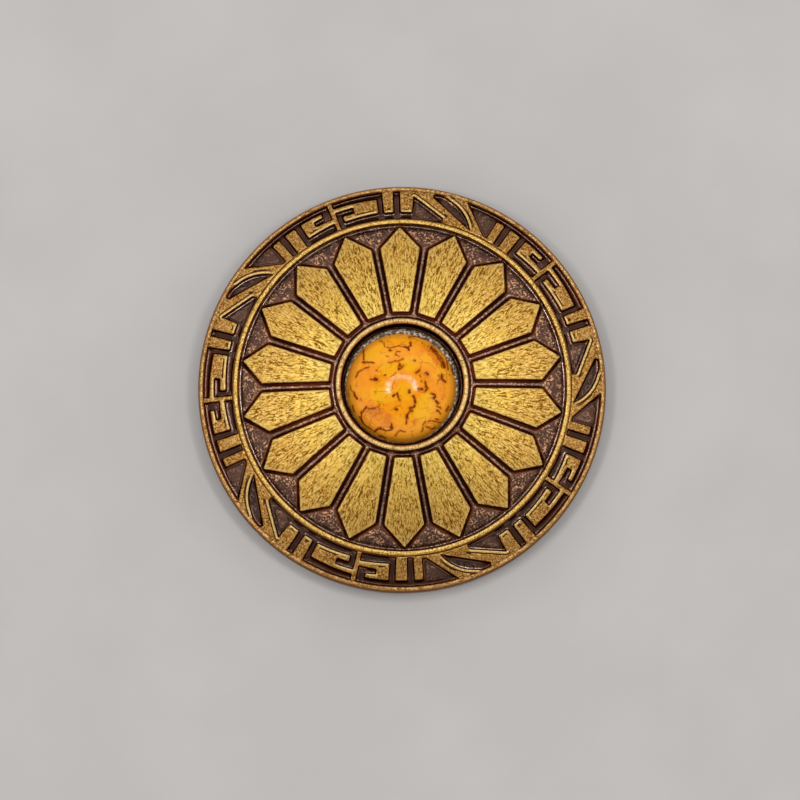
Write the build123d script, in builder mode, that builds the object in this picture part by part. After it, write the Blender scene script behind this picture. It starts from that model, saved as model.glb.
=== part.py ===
from build123d import *

# Domed round concho: a cast brass disc with a fret border, eighteen petals and a stone in its middle.
# Millimetres, +Z up, origin on the ground under the disc's centre. It lies on the foot ring of its rim.
import os
from collections import namedtuple
from math import cos, pi, radians, sin, sqrt, tan

# Disc and dome
disc_d = 38.0
rim_land_z = 2.45  # level of the raised ornament where it meets the rim
dome_r = 47.0  # radius of the sphere that the raised ornament lies on
relief_h = 0.55  # raised ornament above the recessed ground
shell_t = 1.4  # metal under the recessed ground
foot_w = 1.3
foot_chamfer = 0.2

# Rings on the front
rim_w = 0.51
rim_crown = 0.07
rim_round_r = 0.3
border_w = 2.71
bead_w = 0.5
bead_crown = 0.14

# Petals
petal_count = 18
petal_turn = 0.84  # first petal, degrees anticlockwise from +Y
petal_tip_gap = 0.35  # between the bead and the petal tips
petal_tip_l = 2.08
petal_channel_out_w = 0.87  # channel between petals at their shoulders
petal_channel_in_w = 0.8  # and at their inner ends
bezel_channel_w = 0.63

# Bezel, cup and stone
stone_d = 10.3
stone_h = 3.9
stone_girdle_h = 0.5
stone_shift_x = -0.09
stone_shift_y = -0.18
stone_clearance = 0.47
stone_seat_gap = 0.05
bezel_w = 0.52
bezel_rise = 0.1  # bezel top above the petals' level
bezel_crown = 0.2
cup_depth = 1.8
cup_floor_t = 0.7

# Post on the back
post_d = 5.0
post_foot_gap = 0.2  # post end above the ground
post_fit_gap = 0.05
boss_wall = 1.4
boss_h = 1.0
thread_bore_d = 3.3
thread_bore_l = 2.7

# Border ornament: five repeats, one divider bar in each
fret_repeats = 5
fret_start = 50.3  # first divider bar, degrees clockwise from +Y
arc_span = 0.1  # a side that rises less than this share of the border runs round the ring as an arc

# Corner of a recess: degrees clockwise from the divider bar, share of the border's width from its inner edge
Corner = namedtuple("Corner", "turn share")

hook_before_divider = [
    Corner(-31.0, 1.0),
    Corner(-0.6, 1.0),
    Corner(-0.6, 0.45),
    Corner(-6.4, 0.46),
    Corner(-6.4, 0.65),
    Corner(-3.2, 0.67),
    Corner(-3.2, 0.80),
    Corner(-10.2, 0.80),
    Corner(-10.2, 0.24),
    Corner(-0.6, 0.29),
    Corner(-0.6, 0.0),
    Corner(-12.35, 0.0),
    Corner(-12.35, 0.79),
    Corner(-15.85, 0.79),
    Corner(-15.85, 0.02),
    Corner(-18.1, 0.02),
    Corner(-18.1, 0.79),
    Corner(-20.6, 0.79),
    Corner(-20.8, 0.08),
    Corner(-22.3, 0.08),
]
hook_after_divider = [
    Corner(0.7, 1.0),
    Corner(15.8, 1.0),
    Corner(15.9, 0.24),
    Corner(18.9, 0.24),
    Corner(19.0, 1.0),
    Corner(21.1, 1.0),
    Corner(21.2, 0.24),
    Corner(24.9, 0.24),
    Corner(25.1, 0.85),
    Corner(35.3, 0.19),
    Corner(35.5, 0.0),
    Corner(0.7, 0.0),
    Corner(0.7, 0.64),
    Corner(6.6, 0.64),
    Corner(6.6, 0.42),
    Corner(2.7, 0.42),
    Corner(2.7, 0.22),
    Corner(14.0, 0.26),
    Corner(14.0, 0.75),
    Corner(0.7, 0.79),
]

# Leaf-shaped recess: arcs, each by a point on it and its end, from the end of its round heel
leaf_start = Corner(-41.0, 0.86)
leaf_arcs = [
    (Corner(-41.1, 0.95), Corner(-40.4, 1.0)),
    (Corner(-37.9, 0.985), Corner(-36.1, 0.9)),
    (Corner(-31.2, 0.6), Corner(-26.9, 0.05)),
    (Corner(-35.3, 0.465), leaf_start),
]

# Worked out from the sizes above
disc_r = disc_d / 2
rim_in_r = disc_r - rim_w
border_in_r = rim_in_r - border_w
bead_in_r = border_in_r - bead_w
petal_tip_r = bead_in_r - petal_tip_gap
petal_shoulder_r = petal_tip_r - petal_tip_l
cup_r = stone_d / 2 + stone_clearance
bezel_out_r = cup_r + bezel_w
petal_in_r = bezel_out_r + bezel_channel_w
foot_in_r = disc_r - foot_w
socket_r = post_d / 2 + post_fit_gap
boss_r = max(socket_r, cup_r) + boss_wall
rim_crest_r = disc_r - rim_round_r
rim_top_z = rim_land_z + rim_crown
rim_edge_z = rim_top_z - rim_round_r
dome_centre_z = rim_land_z - sqrt(dome_r**2 - rim_in_r**2)


def dome_z(r, depth=0.0):
    """Height of the dome at radius r, depth below the raised ornament."""
    return dome_centre_z + sqrt((dome_r - depth) ** 2 - r**2)


ground_depth = relief_h
back_depth = relief_h + shell_t
bezel_top_z = dome_z(bezel_out_r) + bezel_rise
cup_floor_z = bezel_top_z - cup_depth
socket_top_z = cup_floor_z - cup_floor_t
boss_z = socket_top_z - boss_h
stone_base_z = cup_floor_z + stone_seat_gap
cut_top_z = bezel_top_z + relief_h


def dome_arc(r_from, r_to, depth):
    """Draw the dome's section between two radii."""
    r_mid = (r_from + r_to) / 2
    ThreePointArc(
        (r_from, dome_z(r_from, depth)),
        (r_mid, dome_z(r_mid, depth)),
        (r_to, dome_z(r_to, depth)),
    )


def border_point(turn, share):
    """Plan position of a corner of the border ornament."""
    angle = radians(fret_start + turn)
    r = border_in_r + share * border_w
    return (r * sin(angle), r * cos(angle))


def recess_outline(corners):
    """Draw a recess whose sides are arcs round the ring and straight lines across it."""
    for start, end in zip(corners, corners[1:] + corners[:1]):
        if abs(start.share - end.share) < arc_span:
            mid = border_point((start.turn + end.turn) / 2, (start.share + end.share) / 2)
            ThreePointArc(border_point(*start), mid, border_point(*end))
        else:
            Line(border_point(*start), border_point(*end))


# One repeat of the border's recesses
with BuildSketch() as border_repeat:
    for corners in (hook_before_divider, hook_after_divider):
        with BuildLine():
            recess_outline(corners)
        make_face()
    with BuildLine():
        arc_start = leaf_start
        for arc_mid, arc_end in leaf_arcs:
            ThreePointArc(border_point(*arc_start), border_point(*arc_mid), border_point(*arc_end))
            arc_start = arc_end
    make_face()

# All recesses of the border, down to the dome of the ground
with BuildPart() as border_recesses:
    with BuildSketch():
        with PolarLocations(0, fret_repeats):
            add(border_repeat.sketch)
    extrude(amount=cut_top_z)
    with BuildSketch(Plane.XZ):
        with BuildLine():
            dome_arc(bead_in_r, disc_r, ground_depth)
            Polyline(
                (disc_r, dome_z(disc_r, ground_depth)),
                (disc_r, cut_top_z),
                (bead_in_r, cut_top_z),
                (bead_in_r, dome_z(bead_in_r, ground_depth)),
            )
        make_face()
    revolve(axis=Axis.Z, mode=Mode.INTERSECT)

# Petals, with tops on the dome and roots inside the shell
petal_half_angle = pi / petal_count


def petal_half_width(x, channel_w):
    """Half width of a petal at distance x along it, leaving half a channel on each side."""
    return x * tan(petal_half_angle) - channel_w / 2 / cos(petal_half_angle)


with BuildPart() as petals:
    with BuildSketch():
        shoulder_w = petal_half_width(petal_shoulder_r, petal_channel_out_w)
        inner_w = petal_half_width(petal_in_r, petal_channel_in_w)
        with PolarLocations(0, petal_count, start_angle=90 + petal_turn):
            Polygon(
                (petal_in_r, -inner_w),
                (petal_shoulder_r, -shoulder_w),
                (petal_tip_r, 0),
                (petal_shoulder_r, shoulder_w),
                (petal_in_r, inner_w),
                align=None,
            )
    extrude(amount=cut_top_z)
    root_depth = ground_depth + shell_t / 2
    with BuildSketch(Plane.XZ):
        with BuildLine():
            dome_arc(cup_r, bead_in_r, 0)
            Line((bead_in_r, dome_z(bead_in_r)), (bead_in_r, dome_z(bead_in_r, root_depth)))
            dome_arc(bead_in_r, cup_r, root_depth)
            Line((cup_r, dome_z(cup_r, root_depth)), (cup_r, dome_z(cup_r)))
        make_face()
    revolve(axis=Axis.Z, mode=Mode.INTERSECT)

# Casting: the turned section first, then the border's recesses and the petals
with BuildPart() as concho_body:
    with BuildSketch(Plane.XZ):
        with BuildLine():
            Polyline((0, cup_floor_z), (cup_r, cup_floor_z), (cup_r, bezel_top_z - bezel_crown))
            ThreePointArc(
                (cup_r, bezel_top_z - bezel_crown),
                ((cup_r + bezel_out_r) / 2, bezel_top_z),
                (bezel_out_r, bezel_top_z - bezel_crown),
            )
            Line((bezel_out_r, bezel_top_z - bezel_crown), (bezel_out_r, dome_z(bezel_out_r, ground_depth)))
            dome_arc(bezel_out_r, bead_in_r, ground_depth)
            Line((bead_in_r, dome_z(bead_in_r, ground_depth)), (bead_in_r, dome_z(bead_in_r)))
            bead_mid_r = bead_in_r + bead_w / 2
            ThreePointArc(
                (bead_in_r, dome_z(bead_in_r)),
                (bead_mid_r, dome_z(bead_mid_r) + bead_crown),
                (border_in_r, dome_z(border_in_r)),
            )
            dome_arc(border_in_r, rim_in_r, 0)
            Line((rim_in_r, rim_land_z), (rim_crest_r, rim_top_z))
            CenterArc((rim_crest_r, rim_edge_z), rim_round_r, 0, 90)
            Polyline(
                (disc_r, rim_edge_z),
                (disc_r, foot_chamfer),
                (disc_r - foot_chamfer, 0),
                (foot_in_r, 0),
                (foot_in_r, dome_z(foot_in_r, back_depth)),
            )
            dome_arc(foot_in_r, boss_r, back_depth)
            Polyline(
                (boss_r, dome_z(boss_r, back_depth)),
                (boss_r, boss_z),
                (socket_r, boss_z),
                (socket_r, socket_top_z),
                (0, socket_top_z),
                (0, cup_floor_z),
            )
        make_face()
    revolve(axis=Axis.Z)
    add(border_recesses.part, mode=Mode.SUBTRACT)
    add(petals.part)

# Stone: flat base, short upright girdle and a domed top, seated a little off centre
stone_plane = Plane(origin=(stone_shift_x, stone_shift_y, stone_base_z), x_dir=(1, 0, 0), z_dir=(0, -1, 0))
stone_r = stone_d / 2
crown_h = stone_h - stone_girdle_h
crown_sphere_r = (stone_r**2 + crown_h**2) / (2 * crown_h)
with BuildPart() as cabochon:
    with BuildSketch(stone_plane):
        with BuildLine():
            Polyline((0, stone_h), (0, 0), (stone_r, 0), (stone_r, stone_girdle_h))
            ThreePointArc(
                (stone_r, stone_girdle_h),
                (stone_r / 2, stone_h - crown_sphere_r + sqrt(crown_sphere_r**2 - stone_r**2 / 4)),
                (0, stone_h),
            )
        make_face()
    revolve(axis=Axis((stone_shift_x, stone_shift_y, 0), (0, 0, 1)))

# Post: a plain round stem in the socket, bored from its free end for the screw
post_l = socket_top_z - post_fit_gap - post_foot_gap
with BuildPart() as screw_post:
    with BuildSketch(Plane.XY.offset(post_foot_gap)):
        Circle(post_d / 2)
    extrude(amount=post_l)
    with BuildSketch(Plane.XY.offset(post_foot_gap)):
        Circle(thread_bore_d / 2)
    extrude(amount=thread_bore_l, mode=Mode.SUBTRACT)

os.makedirs("parts", exist_ok=True)
for name, piece in (
    ("concho_body", concho_body),
    ("cabochon", cabochon),
    ("screw_post", screw_post),
):
    piece.part.label = name
    export_step(piece.part, f"parts/{name}.step")
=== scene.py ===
"""A domed antique-brass concho with a stone centre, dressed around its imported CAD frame.

All shapes are worked out in millimetres and turned into metres when a mesh is made. Angles round the disc
run clockwise from +Y, as a reader of the front sees them.
"""
import logging
import math
from dataclasses import dataclass, field
from enum import Enum
from typing import Any, Callable, Sequence

import bmesh
import bpy
import numpy as np
from mathutils import Matrix, Vector
from mathutils.geometry import delaunay_2d_cdt


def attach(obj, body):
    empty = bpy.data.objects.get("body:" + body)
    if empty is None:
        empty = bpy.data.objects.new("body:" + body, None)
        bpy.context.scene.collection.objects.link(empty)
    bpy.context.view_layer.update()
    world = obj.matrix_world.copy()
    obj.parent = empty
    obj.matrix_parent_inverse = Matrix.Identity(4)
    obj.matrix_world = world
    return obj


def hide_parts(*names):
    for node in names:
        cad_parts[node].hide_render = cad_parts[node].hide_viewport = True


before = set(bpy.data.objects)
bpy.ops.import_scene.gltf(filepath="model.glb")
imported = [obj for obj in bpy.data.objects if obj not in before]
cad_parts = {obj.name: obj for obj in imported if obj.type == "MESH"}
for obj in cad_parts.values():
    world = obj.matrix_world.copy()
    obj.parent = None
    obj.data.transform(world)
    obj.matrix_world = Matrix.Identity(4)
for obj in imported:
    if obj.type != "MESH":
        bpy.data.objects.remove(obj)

LOG = logging.getLogger("concho")

MM = 0.001  # metres in a millimetre
WELD = 2e-6  # points nearer to each other than this, in metres, become one
SHORTEST_EDGE = 1e-8  # edges shorter than this, in metres, are dissolved
SEAM_ANGLE = 0.16  # turn that brings the skin's columns to the sectors' points, in degrees
ROUNDING_SHARE = 0.42  # most of a side's length that one rounded corner may take
ROUNDING_POINTS = 6  # points of a rounded corner, with both its ends
LEAST_MITER = 0.5  # limits how far an offset corner is pushed out
BATCH = 1500  # points measured at a time
ROW_SPACING = 0.866  # rows of a triangular grid, as a share of its step
INSIDE = 1e-3  # how far inside a boundary a point has to lie, in mm
MERGE = 2e-4  # points nearer to each other than this, in mm, are one in a sector's plan

Array = np.ndarray
Point = tuple[float, float]
Colour = tuple[float, float, float]
Faces = Sequence[Sequence[int]]
Socket = bpy.types.NodeSocket


class Slot(Enum):
    """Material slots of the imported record."""

    ANTIQUE_BRASS = "antique_brass"
    ORANGE_STONE = "orange_stone"
    PLAIN_BRASS = "plain_brass"


class Body(Enum):
    """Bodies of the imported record."""

    ROOT = "root"


def smoothstep(low: float, high: float, value: Array) -> Array:
    """A soft step from 0 at low to 1 at high."""
    t = np.clip((value - low) / (high - low), 0.0, 1.0)
    return t * t * (3.0 - 2.0 * t)


def around(radius: Array | float, degrees: Array | float) -> Array:
    """Plan points at a radius and an angle clockwise from +Y."""
    angle = np.radians(degrees)
    return np.stack(np.broadcast_arrays(radius * np.sin(angle), radius * np.cos(angle)), axis=-1)


# Plan outlines


def walk(points: Array, stops: Array) -> Array:
    """Points along an open polyline at given lengths from its start."""
    steps = np.linalg.norm(np.diff(points, axis=0), axis=1)
    length = np.concatenate([[0.0], np.cumsum(steps)])
    return np.stack([np.interp(stops, length, points[:, k]) for k in (0, 1)], axis=-1)


def rounded_outline(sides: Sequence[Array], cut: float, step: float) -> Array:
    """A closed outline through sides that meet at corners, with each corner rounded.

    Args:
        sides: polylines, each starting where the one before ends.
        cut: how far from its corner a rounding starts, in mm.
        step: longest distance between points on a side, in mm.

    Returns:
        Points of the outline, anticlockwise, without a repeated last point.
    """
    runs, cuts = [], []
    for side in sides:
        length = float(np.linalg.norm(np.diff(side, axis=0), axis=1).sum())
        inset = min(cut, ROUNDING_SHARE * length)
        count = max(2, int(math.ceil((length - 2 * inset) / step)) + 1)
        runs.append(walk(side, np.linspace(inset, length - inset, count)))
        cuts.append(inset)
    parts = []
    for k, run in enumerate(runs):
        following = runs[(k + 1) % len(runs)]
        corner = sides[k][-1]
        t = np.linspace(0.0, 1.0, ROUNDING_POINTS)[1:-1, None]
        parts.append(run)
        parts.append((1 - t) ** 2 * run[-1] + 2 * t * (1 - t) * corner + t**2 * following[0])
    outline = np.concatenate(parts)
    x, y = outline.T
    area = 0.5 * float(np.sum(x * np.roll(y, -1) - np.roll(x, -1) * y))
    return outline if area > 0 else outline[::-1]


def offset_loop(outline: Array, distance: float) -> Array:
    """The closed outline moved outwards by a distance, point for point."""
    before = outline - np.roll(outline, 1, axis=0)
    after = np.roll(outline, -1, axis=0) - outline
    normals = []
    for edge in (before, after):
        unit = edge / np.linalg.norm(edge, axis=1, keepdims=True)
        normals.append(np.stack([unit[:, 1], -unit[:, 0]], axis=-1))
    middle = normals[0] + normals[1]
    middle /= np.linalg.norm(middle, axis=1, keepdims=True)
    miter = np.maximum((middle * normals[0]).sum(1, keepdims=True), LEAST_MITER)
    return outline + middle * distance / miter


@dataclass
class Outlines:
    """Closed plan outlines, and how far any point lies from them."""

    loops: list[Array]

    def measure(self, points: Array) -> tuple[Array, Array]:
        """Signed distance to the outlines and which way the nearest edge faces.

        Args:
            points: plan points in mm.

        Returns:
            Distance in mm, above nought outside the outlines, and the radial part of the direction that leads
            from inside to outside at the nearest edge.
        """
        starts = np.concatenate(self.loops)
        ends = np.concatenate([np.roll(loop, -1, axis=0) for loop in self.loops])
        along = ends - starts
        length2 = (along**2).sum(1)
        outward = np.stack([along[:, 1], -along[:, 0]], axis=-1) / np.sqrt(length2)[:, None]
        distance, facing = np.empty(len(points)), np.empty(len(points))
        for first in range(0, len(points), BATCH):
            batch = slice(first, first + BATCH)
            p = points[batch]
            away = p[:, None, :] - starts[None]
            t = np.clip((away * along).sum(2) / length2, 0.0, 1.0)
            gap2 = ((away - t[..., None] * along) ** 2).sum(2)
            near = gap2.argmin(1)
            size = np.sqrt(gap2[np.arange(len(p)), near])
            above = starts[None, :, 1] > p[:, None, 1]
            crosses = above != (ends[None, :, 1] > p[:, None, 1])
            rise = np.where(along[:, 1] == 0, 1.0, along[:, 1])
            side = starts[None, :, 0] + (p[:, None, 1] - starts[None, :, 1]) * along[:, 0] / rise
            inside = (crosses & (p[:, None, 0] < side)).sum(1) % 2 == 1
            distance[batch] = np.where(inside, -size, size)
            radial = p / np.maximum(np.linalg.norm(p, axis=1, keepdims=True), 1e-9)
            facing[batch] = (outward[near] * radial).sum(1)
        return distance, facing


# Heights of the relief


@dataclass(frozen=True)
class Dome:
    """The sphere that the whole front follows."""

    radius: float = 47.0
    land_r: float = 18.49
    land_z: float = 2.45
    relief: float = 0.55

    @property
    def centre_z(self) -> float:
        """Height of the sphere's centre."""
        return self.land_z - math.sqrt(self.radius**2 - self.land_r**2)

    def z(self, r: Array | float, height: Array | float = 0.0) -> Array:
        """Height of a point that stands a height above the sphere at radius r."""
        return self.centre_z + np.sqrt((self.radius + height) ** 2 - np.square(r))


@dataclass(frozen=True)
class EdgeShape:
    """Height of the metal at each distance from the edge of a recess, as pairs (distance, height)."""

    wall: tuple[Point, ...] = (
        (-9.0, -0.55), (-0.22, -0.55), (-0.15, -0.535), (-0.10, -0.50), (-0.06, -0.43), (-0.03, -0.31),
        (0.0, -0.10))
    plain: tuple[Point, ...] = ((0.015, -0.055), (0.05, -0.015), (0.10, 0.0), (9.0, 0.0))
    ledge: tuple[Point, ...] = (
        (0.015, -0.065), (0.05, -0.02), (0.10, 0.0), (0.20, 0.0), (0.26, -0.015), (0.30, -0.05),
        (0.34, -0.06), (0.38, -0.03), (0.43, 0.0), (9.0, 0.0))
    reach: float = 1.0
    last_plain: float = 0.15
    last_ledge: float = 0.47

    def height(self, distance: Array, ledged: Array) -> Array:
        """Height at a distance from the edge, ledged where the edge faces the centre."""
        plain, ledge = (np.array(self.wall + top).T for top in (self.plain, self.ledge))
        flat = np.interp(distance, plain[0], plain[1])
        stepped = np.interp(distance, ledge[0], ledge[1])
        return flat + (stepped - flat) * ledged

    def loops(self) -> tuple[list[float], list[float]]:
        """Distances that need a loop of points on every edge, and on ledged edges only."""
        common = [d for d, _ in self.wall + self.plain if abs(d) < self.reach]
        ledged = [d for d, _ in self.ledge if self.last_plain < d < self.reach]
        return common + [self.last_plain], ledged + [self.last_ledge]


@dataclass(frozen=True)
class RingShape:
    """Radial heights of the plain rings: the bead and the rolled rim."""

    bead_in: float = 15.27
    bead_out: float = 15.71
    bead_crown: float = 0.10
    bead_edge: float = -0.06
    bead_lean: float = 0.08
    bead_power: float = 2.6
    groove: tuple[Point, ...] = (
        (15.71, -0.06), (15.745, -0.11), (15.80, -0.04), (15.87, -0.01), (15.95, 0.0), (18.38, 0.0),
        (18.45, -0.015))
    rim: tuple[Point, ...] = (
        (18.47, -0.03), (18.50, 0.0), (18.54, 0.035), (18.59, 0.075), (18.65, 0.112), (18.71, 0.135),
        (18.77, 0.14), (18.82, 0.12), (18.86, 0.085), (18.88, 0.06), (18.91, 0.0), (18.94, -0.08),
        (18.965, -0.17), (18.985, -0.27), (19.0, -0.40))
    seam_r: float = 18.88
    radii: tuple[float, ...] = (
        15.27, 15.285, 15.31, 15.35, 15.40, 15.45, 15.49, 15.53, 15.58, 15.63, 15.67, 15.695, 15.71, 15.745,
        15.77, 15.80, 15.84, 15.88, 15.95, 18.38, 18.43, 18.47, 18.485, 18.50, 18.52, 18.54, 18.565, 18.59,
        18.62, 18.65, 18.68, 18.71, 18.74, 18.77, 18.795, 18.82, 18.84, 18.86, 18.88)

    def height(self, r: Array) -> Array:
        """Height above the dome at radius r, away from recesses."""
        middle, half = 0.5 * (self.bead_in + self.bead_out), 0.5 * (self.bead_out - self.bead_in)
        x = np.clip((r - middle) / half, -1.0, 1.0)
        rise = self.bead_crown - self.bead_edge
        bead = self.bead_edge + rise * np.sqrt(1.0 - np.abs(x) ** self.bead_power)
        bead = bead + self.bead_lean * x * (1.0 - x * x)
        rest = np.array(self.groove + self.rim).T
        return np.where(r <= self.bead_out, bead, np.interp(r, rest[0], rest[1]))


# Meshes from plan sectors


@dataclass
class SectorMesher:
    """Triangulates the plan sector between one cut and the same cut a repeat earlier."""

    near: Outlines
    radii: Array
    cut: Callable[[Array], Array]
    pitch: float
    edges: list[tuple[int, int]] = field(default_factory=list)

    def __post_init__(self) -> None:
        """Starts with the boundary's points, one a degree along its inner and outer ends."""
        self.seam = np.arange(1, int(self.pitch)) / self.pitch
        self.boundary = np.concatenate([
            self.across(self.radii, 1.0), self.across(self.radii[-1], self.seam[::-1]),
            self.across(self.radii, 0.0)[::-1], self.across(self.radii[0], self.seam)])
        self.points = [self.boundary]
        self.count = len(self.boundary)

    def across(self, r: Array | float, share: Array | float) -> Array:
        """Points at radius r, a share of the way from the earlier cut to the later one."""
        return around(r, self.cut(r) - self.pitch * (1 - share))

    def inside(self, points: Array) -> Array:
        """Which points lie inside the boundary."""
        distance, _ = Outlines([self.boundary]).measure(points)
        return distance < -INSIDE

    def add_line(self, points: Array, keep: Array) -> None:
        """Adds a closed line of points, joined where neighbours are both kept."""
        index = np.full(len(points), -1)
        index[keep] = self.count + np.arange(int(keep.sum()))
        self._add(points[keep], index, np.roll(index, -1))

    def add_rings(self, radii: Sequence[float], clearance: Callable[[float], float]) -> None:
        """Adds rings that run from cut to cut and end on the boundary's own points.

        Args:
            radii: which of the cuts' radii get a ring.
            clearance: how far from the outlines a ring's point has to be at a radius, in mm.
        """
        last = 2 * len(self.radii) + len(self.seam) - 1
        for k, r in enumerate(self.radii[1:-1], 1):
            if r in radii:
                line = self.across(r, self.seam)
                keep = self.near.measure(line)[0] > clearance(r)
                index = np.full(len(line), -1)
                index[keep] = self.count + np.arange(int(keep.sum()))
                index = np.array([last - k, *index, k])
                self._add(line[keep], index[:-1], index[1:])

    def _add(self, points: Array, starts: Array, ends: Array) -> None:
        """Adds points, and the edges that have both their ends."""
        self.points.append(points)
        self.count += len(points)
        self.edges += [(int(a), int(b)) for a, b in zip(starts, ends) if a >= 0 and b >= 0]

    def offset(self, loop: Array, distance: float) -> tuple[Array, Array, Array, Array]:
        """A loop moved outwards by a distance.

        Args:
            loop: one of the outlines.
            distance: how far to move it, in mm.

        Returns:
            The moved points, their radii, which way their edges face, and which of them lie in the sector
            with no other edge nearer.
        """
        line = offset_loop(loop, distance)
        found, facing = self.near.measure(line)
        error = np.abs(np.abs(found) - abs(distance))
        keep = (error < 0.004 + 0.03 * abs(distance)) & (np.sign(found) * distance >= 0) & self.inside(line)
        return line, np.linalg.norm(line, axis=1), facing, keep

    def grid(self, step: float) -> tuple[Array, Array, Array]:
        """Points of a triangular grid in the sector, their radii and their distances from the outlines."""
        low, high = self.boundary.min(0), self.boundary.max(0)
        rows = np.arange(low[1], high[1], step * ROW_SPACING)
        columns = np.arange(low[0], high[0], step)
        points = np.array([(x + step * 0.5 * (k % 2), y) for k, y in enumerate(rows) for x in columns])
        points = points[self.inside(points)]
        return points, np.linalg.norm(points, axis=1), self.near.measure(points)[0]

    def triangulate(self) -> tuple[Array, Faces]:
        """Plan points and triangles of the sector."""
        points = [Vector((float(x), float(y))) for x, y in np.concatenate(self.points)]
        face = list(range(len(self.boundary)))
        ring = [(k, (k + 1) % len(face)) for k in face]
        result = delaunay_2d_cdt(points, ring + self.edges, [], 0, MERGE, False)
        plan, faces = np.array([tuple(v) for v in result[0]]), np.array([list(f) for f in result[2]])
        distance, _ = Outlines([self.boundary]).measure(plan[faces].mean(1))
        faces = faces[distance < -MERGE]
        used = np.unique(faces)
        return plan[used], np.searchsorted(used, faces).tolist()


def mesh_from(name: str, points: Array, faces: Faces, values: dict[str, Array]) -> bpy.types.Object:
    """A linked object from points in mm, with float attributes at its points."""
    mesh = bpy.data.meshes.new(name)
    mesh.from_pydata((points * MM).tolist(), [], faces)
    for key, value in values.items():
        attribute = mesh.attributes.new(key, "FLOAT", "POINT")
        attribute.data.foreach_set("value", np.asarray(value, dtype=np.float32))
    mesh.polygons.foreach_set("use_smooth", [True] * len(mesh.polygons))
    mesh.update()
    thing = bpy.data.objects.new(name, mesh)
    bpy.context.scene.collection.objects.link(thing)
    return thing


def ring_faces(a: int, b: int, count: int, a_pole: bool = False, b_pole: bool = False) -> Faces:
    """Faces between two closed rows of points.

    Args:
        a: place of the first row's first point.
        b: place of the second row's first point.
        count: points in a row.
        a_pole: whether the first row is a single point.
        b_pole: whether the second row is a single point.

    Returns:
        Faces, as places of their points.
    """
    faces = []
    for k in range(count):
        n = (k + 1) % count
        if a_pole:
            faces.append([a, b + k, b + n])
        elif b_pole:
            faces.append([a + k, b, a + n])
        else:
            faces.append([a + k, b + k, b + n, a + n])
    return faces


def lathe(profile: Sequence[Point], degrees: Array, centre: Point = (0.0, 0.0)) -> tuple[Array, Faces]:
    """Points and faces of a profile turned round the Z axis.

    Args:
        profile: pairs (radius, height); a radius of nought is a pole.
        degrees: angles of the columns, clockwise from +Y.
        centre: plan place of the axis.

    Returns:
        Points in mm, and faces.
    """
    points, starts = [], []
    for r, z in profile:
        starts.append((len(points), r == 0.0))
        ring = around(r, degrees if r else degrees[:1])
        points += [(x + centre[0], y + centre[1], z) for x, y in ring]
    faces = []
    for (a, a_pole), (b, b_pole) in zip(starts, starts[1:]):
        faces += ring_faces(a, b, len(degrees), a_pole, b_pole)
    return np.array(points), faces


def columns_round(count: int) -> Array:
    """Evenly spaced angles round the axis, in degrees."""
    return np.arange(count) * 360.0 / count


def tidy_closed(thing: bpy.types.Object) -> None:
    """Merges doubles, turns faces outwards and reports edges that are not shared by two faces."""
    work = bmesh.new()
    work.from_mesh(thing.data)
    bmesh.ops.remove_doubles(work, verts=work.verts, dist=WELD)
    bmesh.ops.dissolve_degenerate(work, dist=SHORTEST_EDGE, edges=work.edges)
    bmesh.ops.recalc_face_normals(work, faces=work.faces)
    if work.calc_volume(signed=True) < 0:
        bmesh.ops.reverse_faces(work, faces=work.faces)
    open_edges = sum(1 for edge in work.edges if not edge.is_manifold)
    work.to_mesh(thing.data)
    work.free()
    thing.data.update()
    LOG.info("%s: %d open edges", thing.name, open_edges)


def dressed_piece(name: str, points: Array, faces: Faces, finish: bpy.types.Material,
                  values: dict[str, Array] | None = None) -> bpy.types.Object:
    """A closed piece in its finish, from points in mm."""
    thing = mesh_from(name, points, faces, values or {})
    thing.data.materials.append(finish)
    tidy_closed(thing)
    return thing


# Node trees


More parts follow.
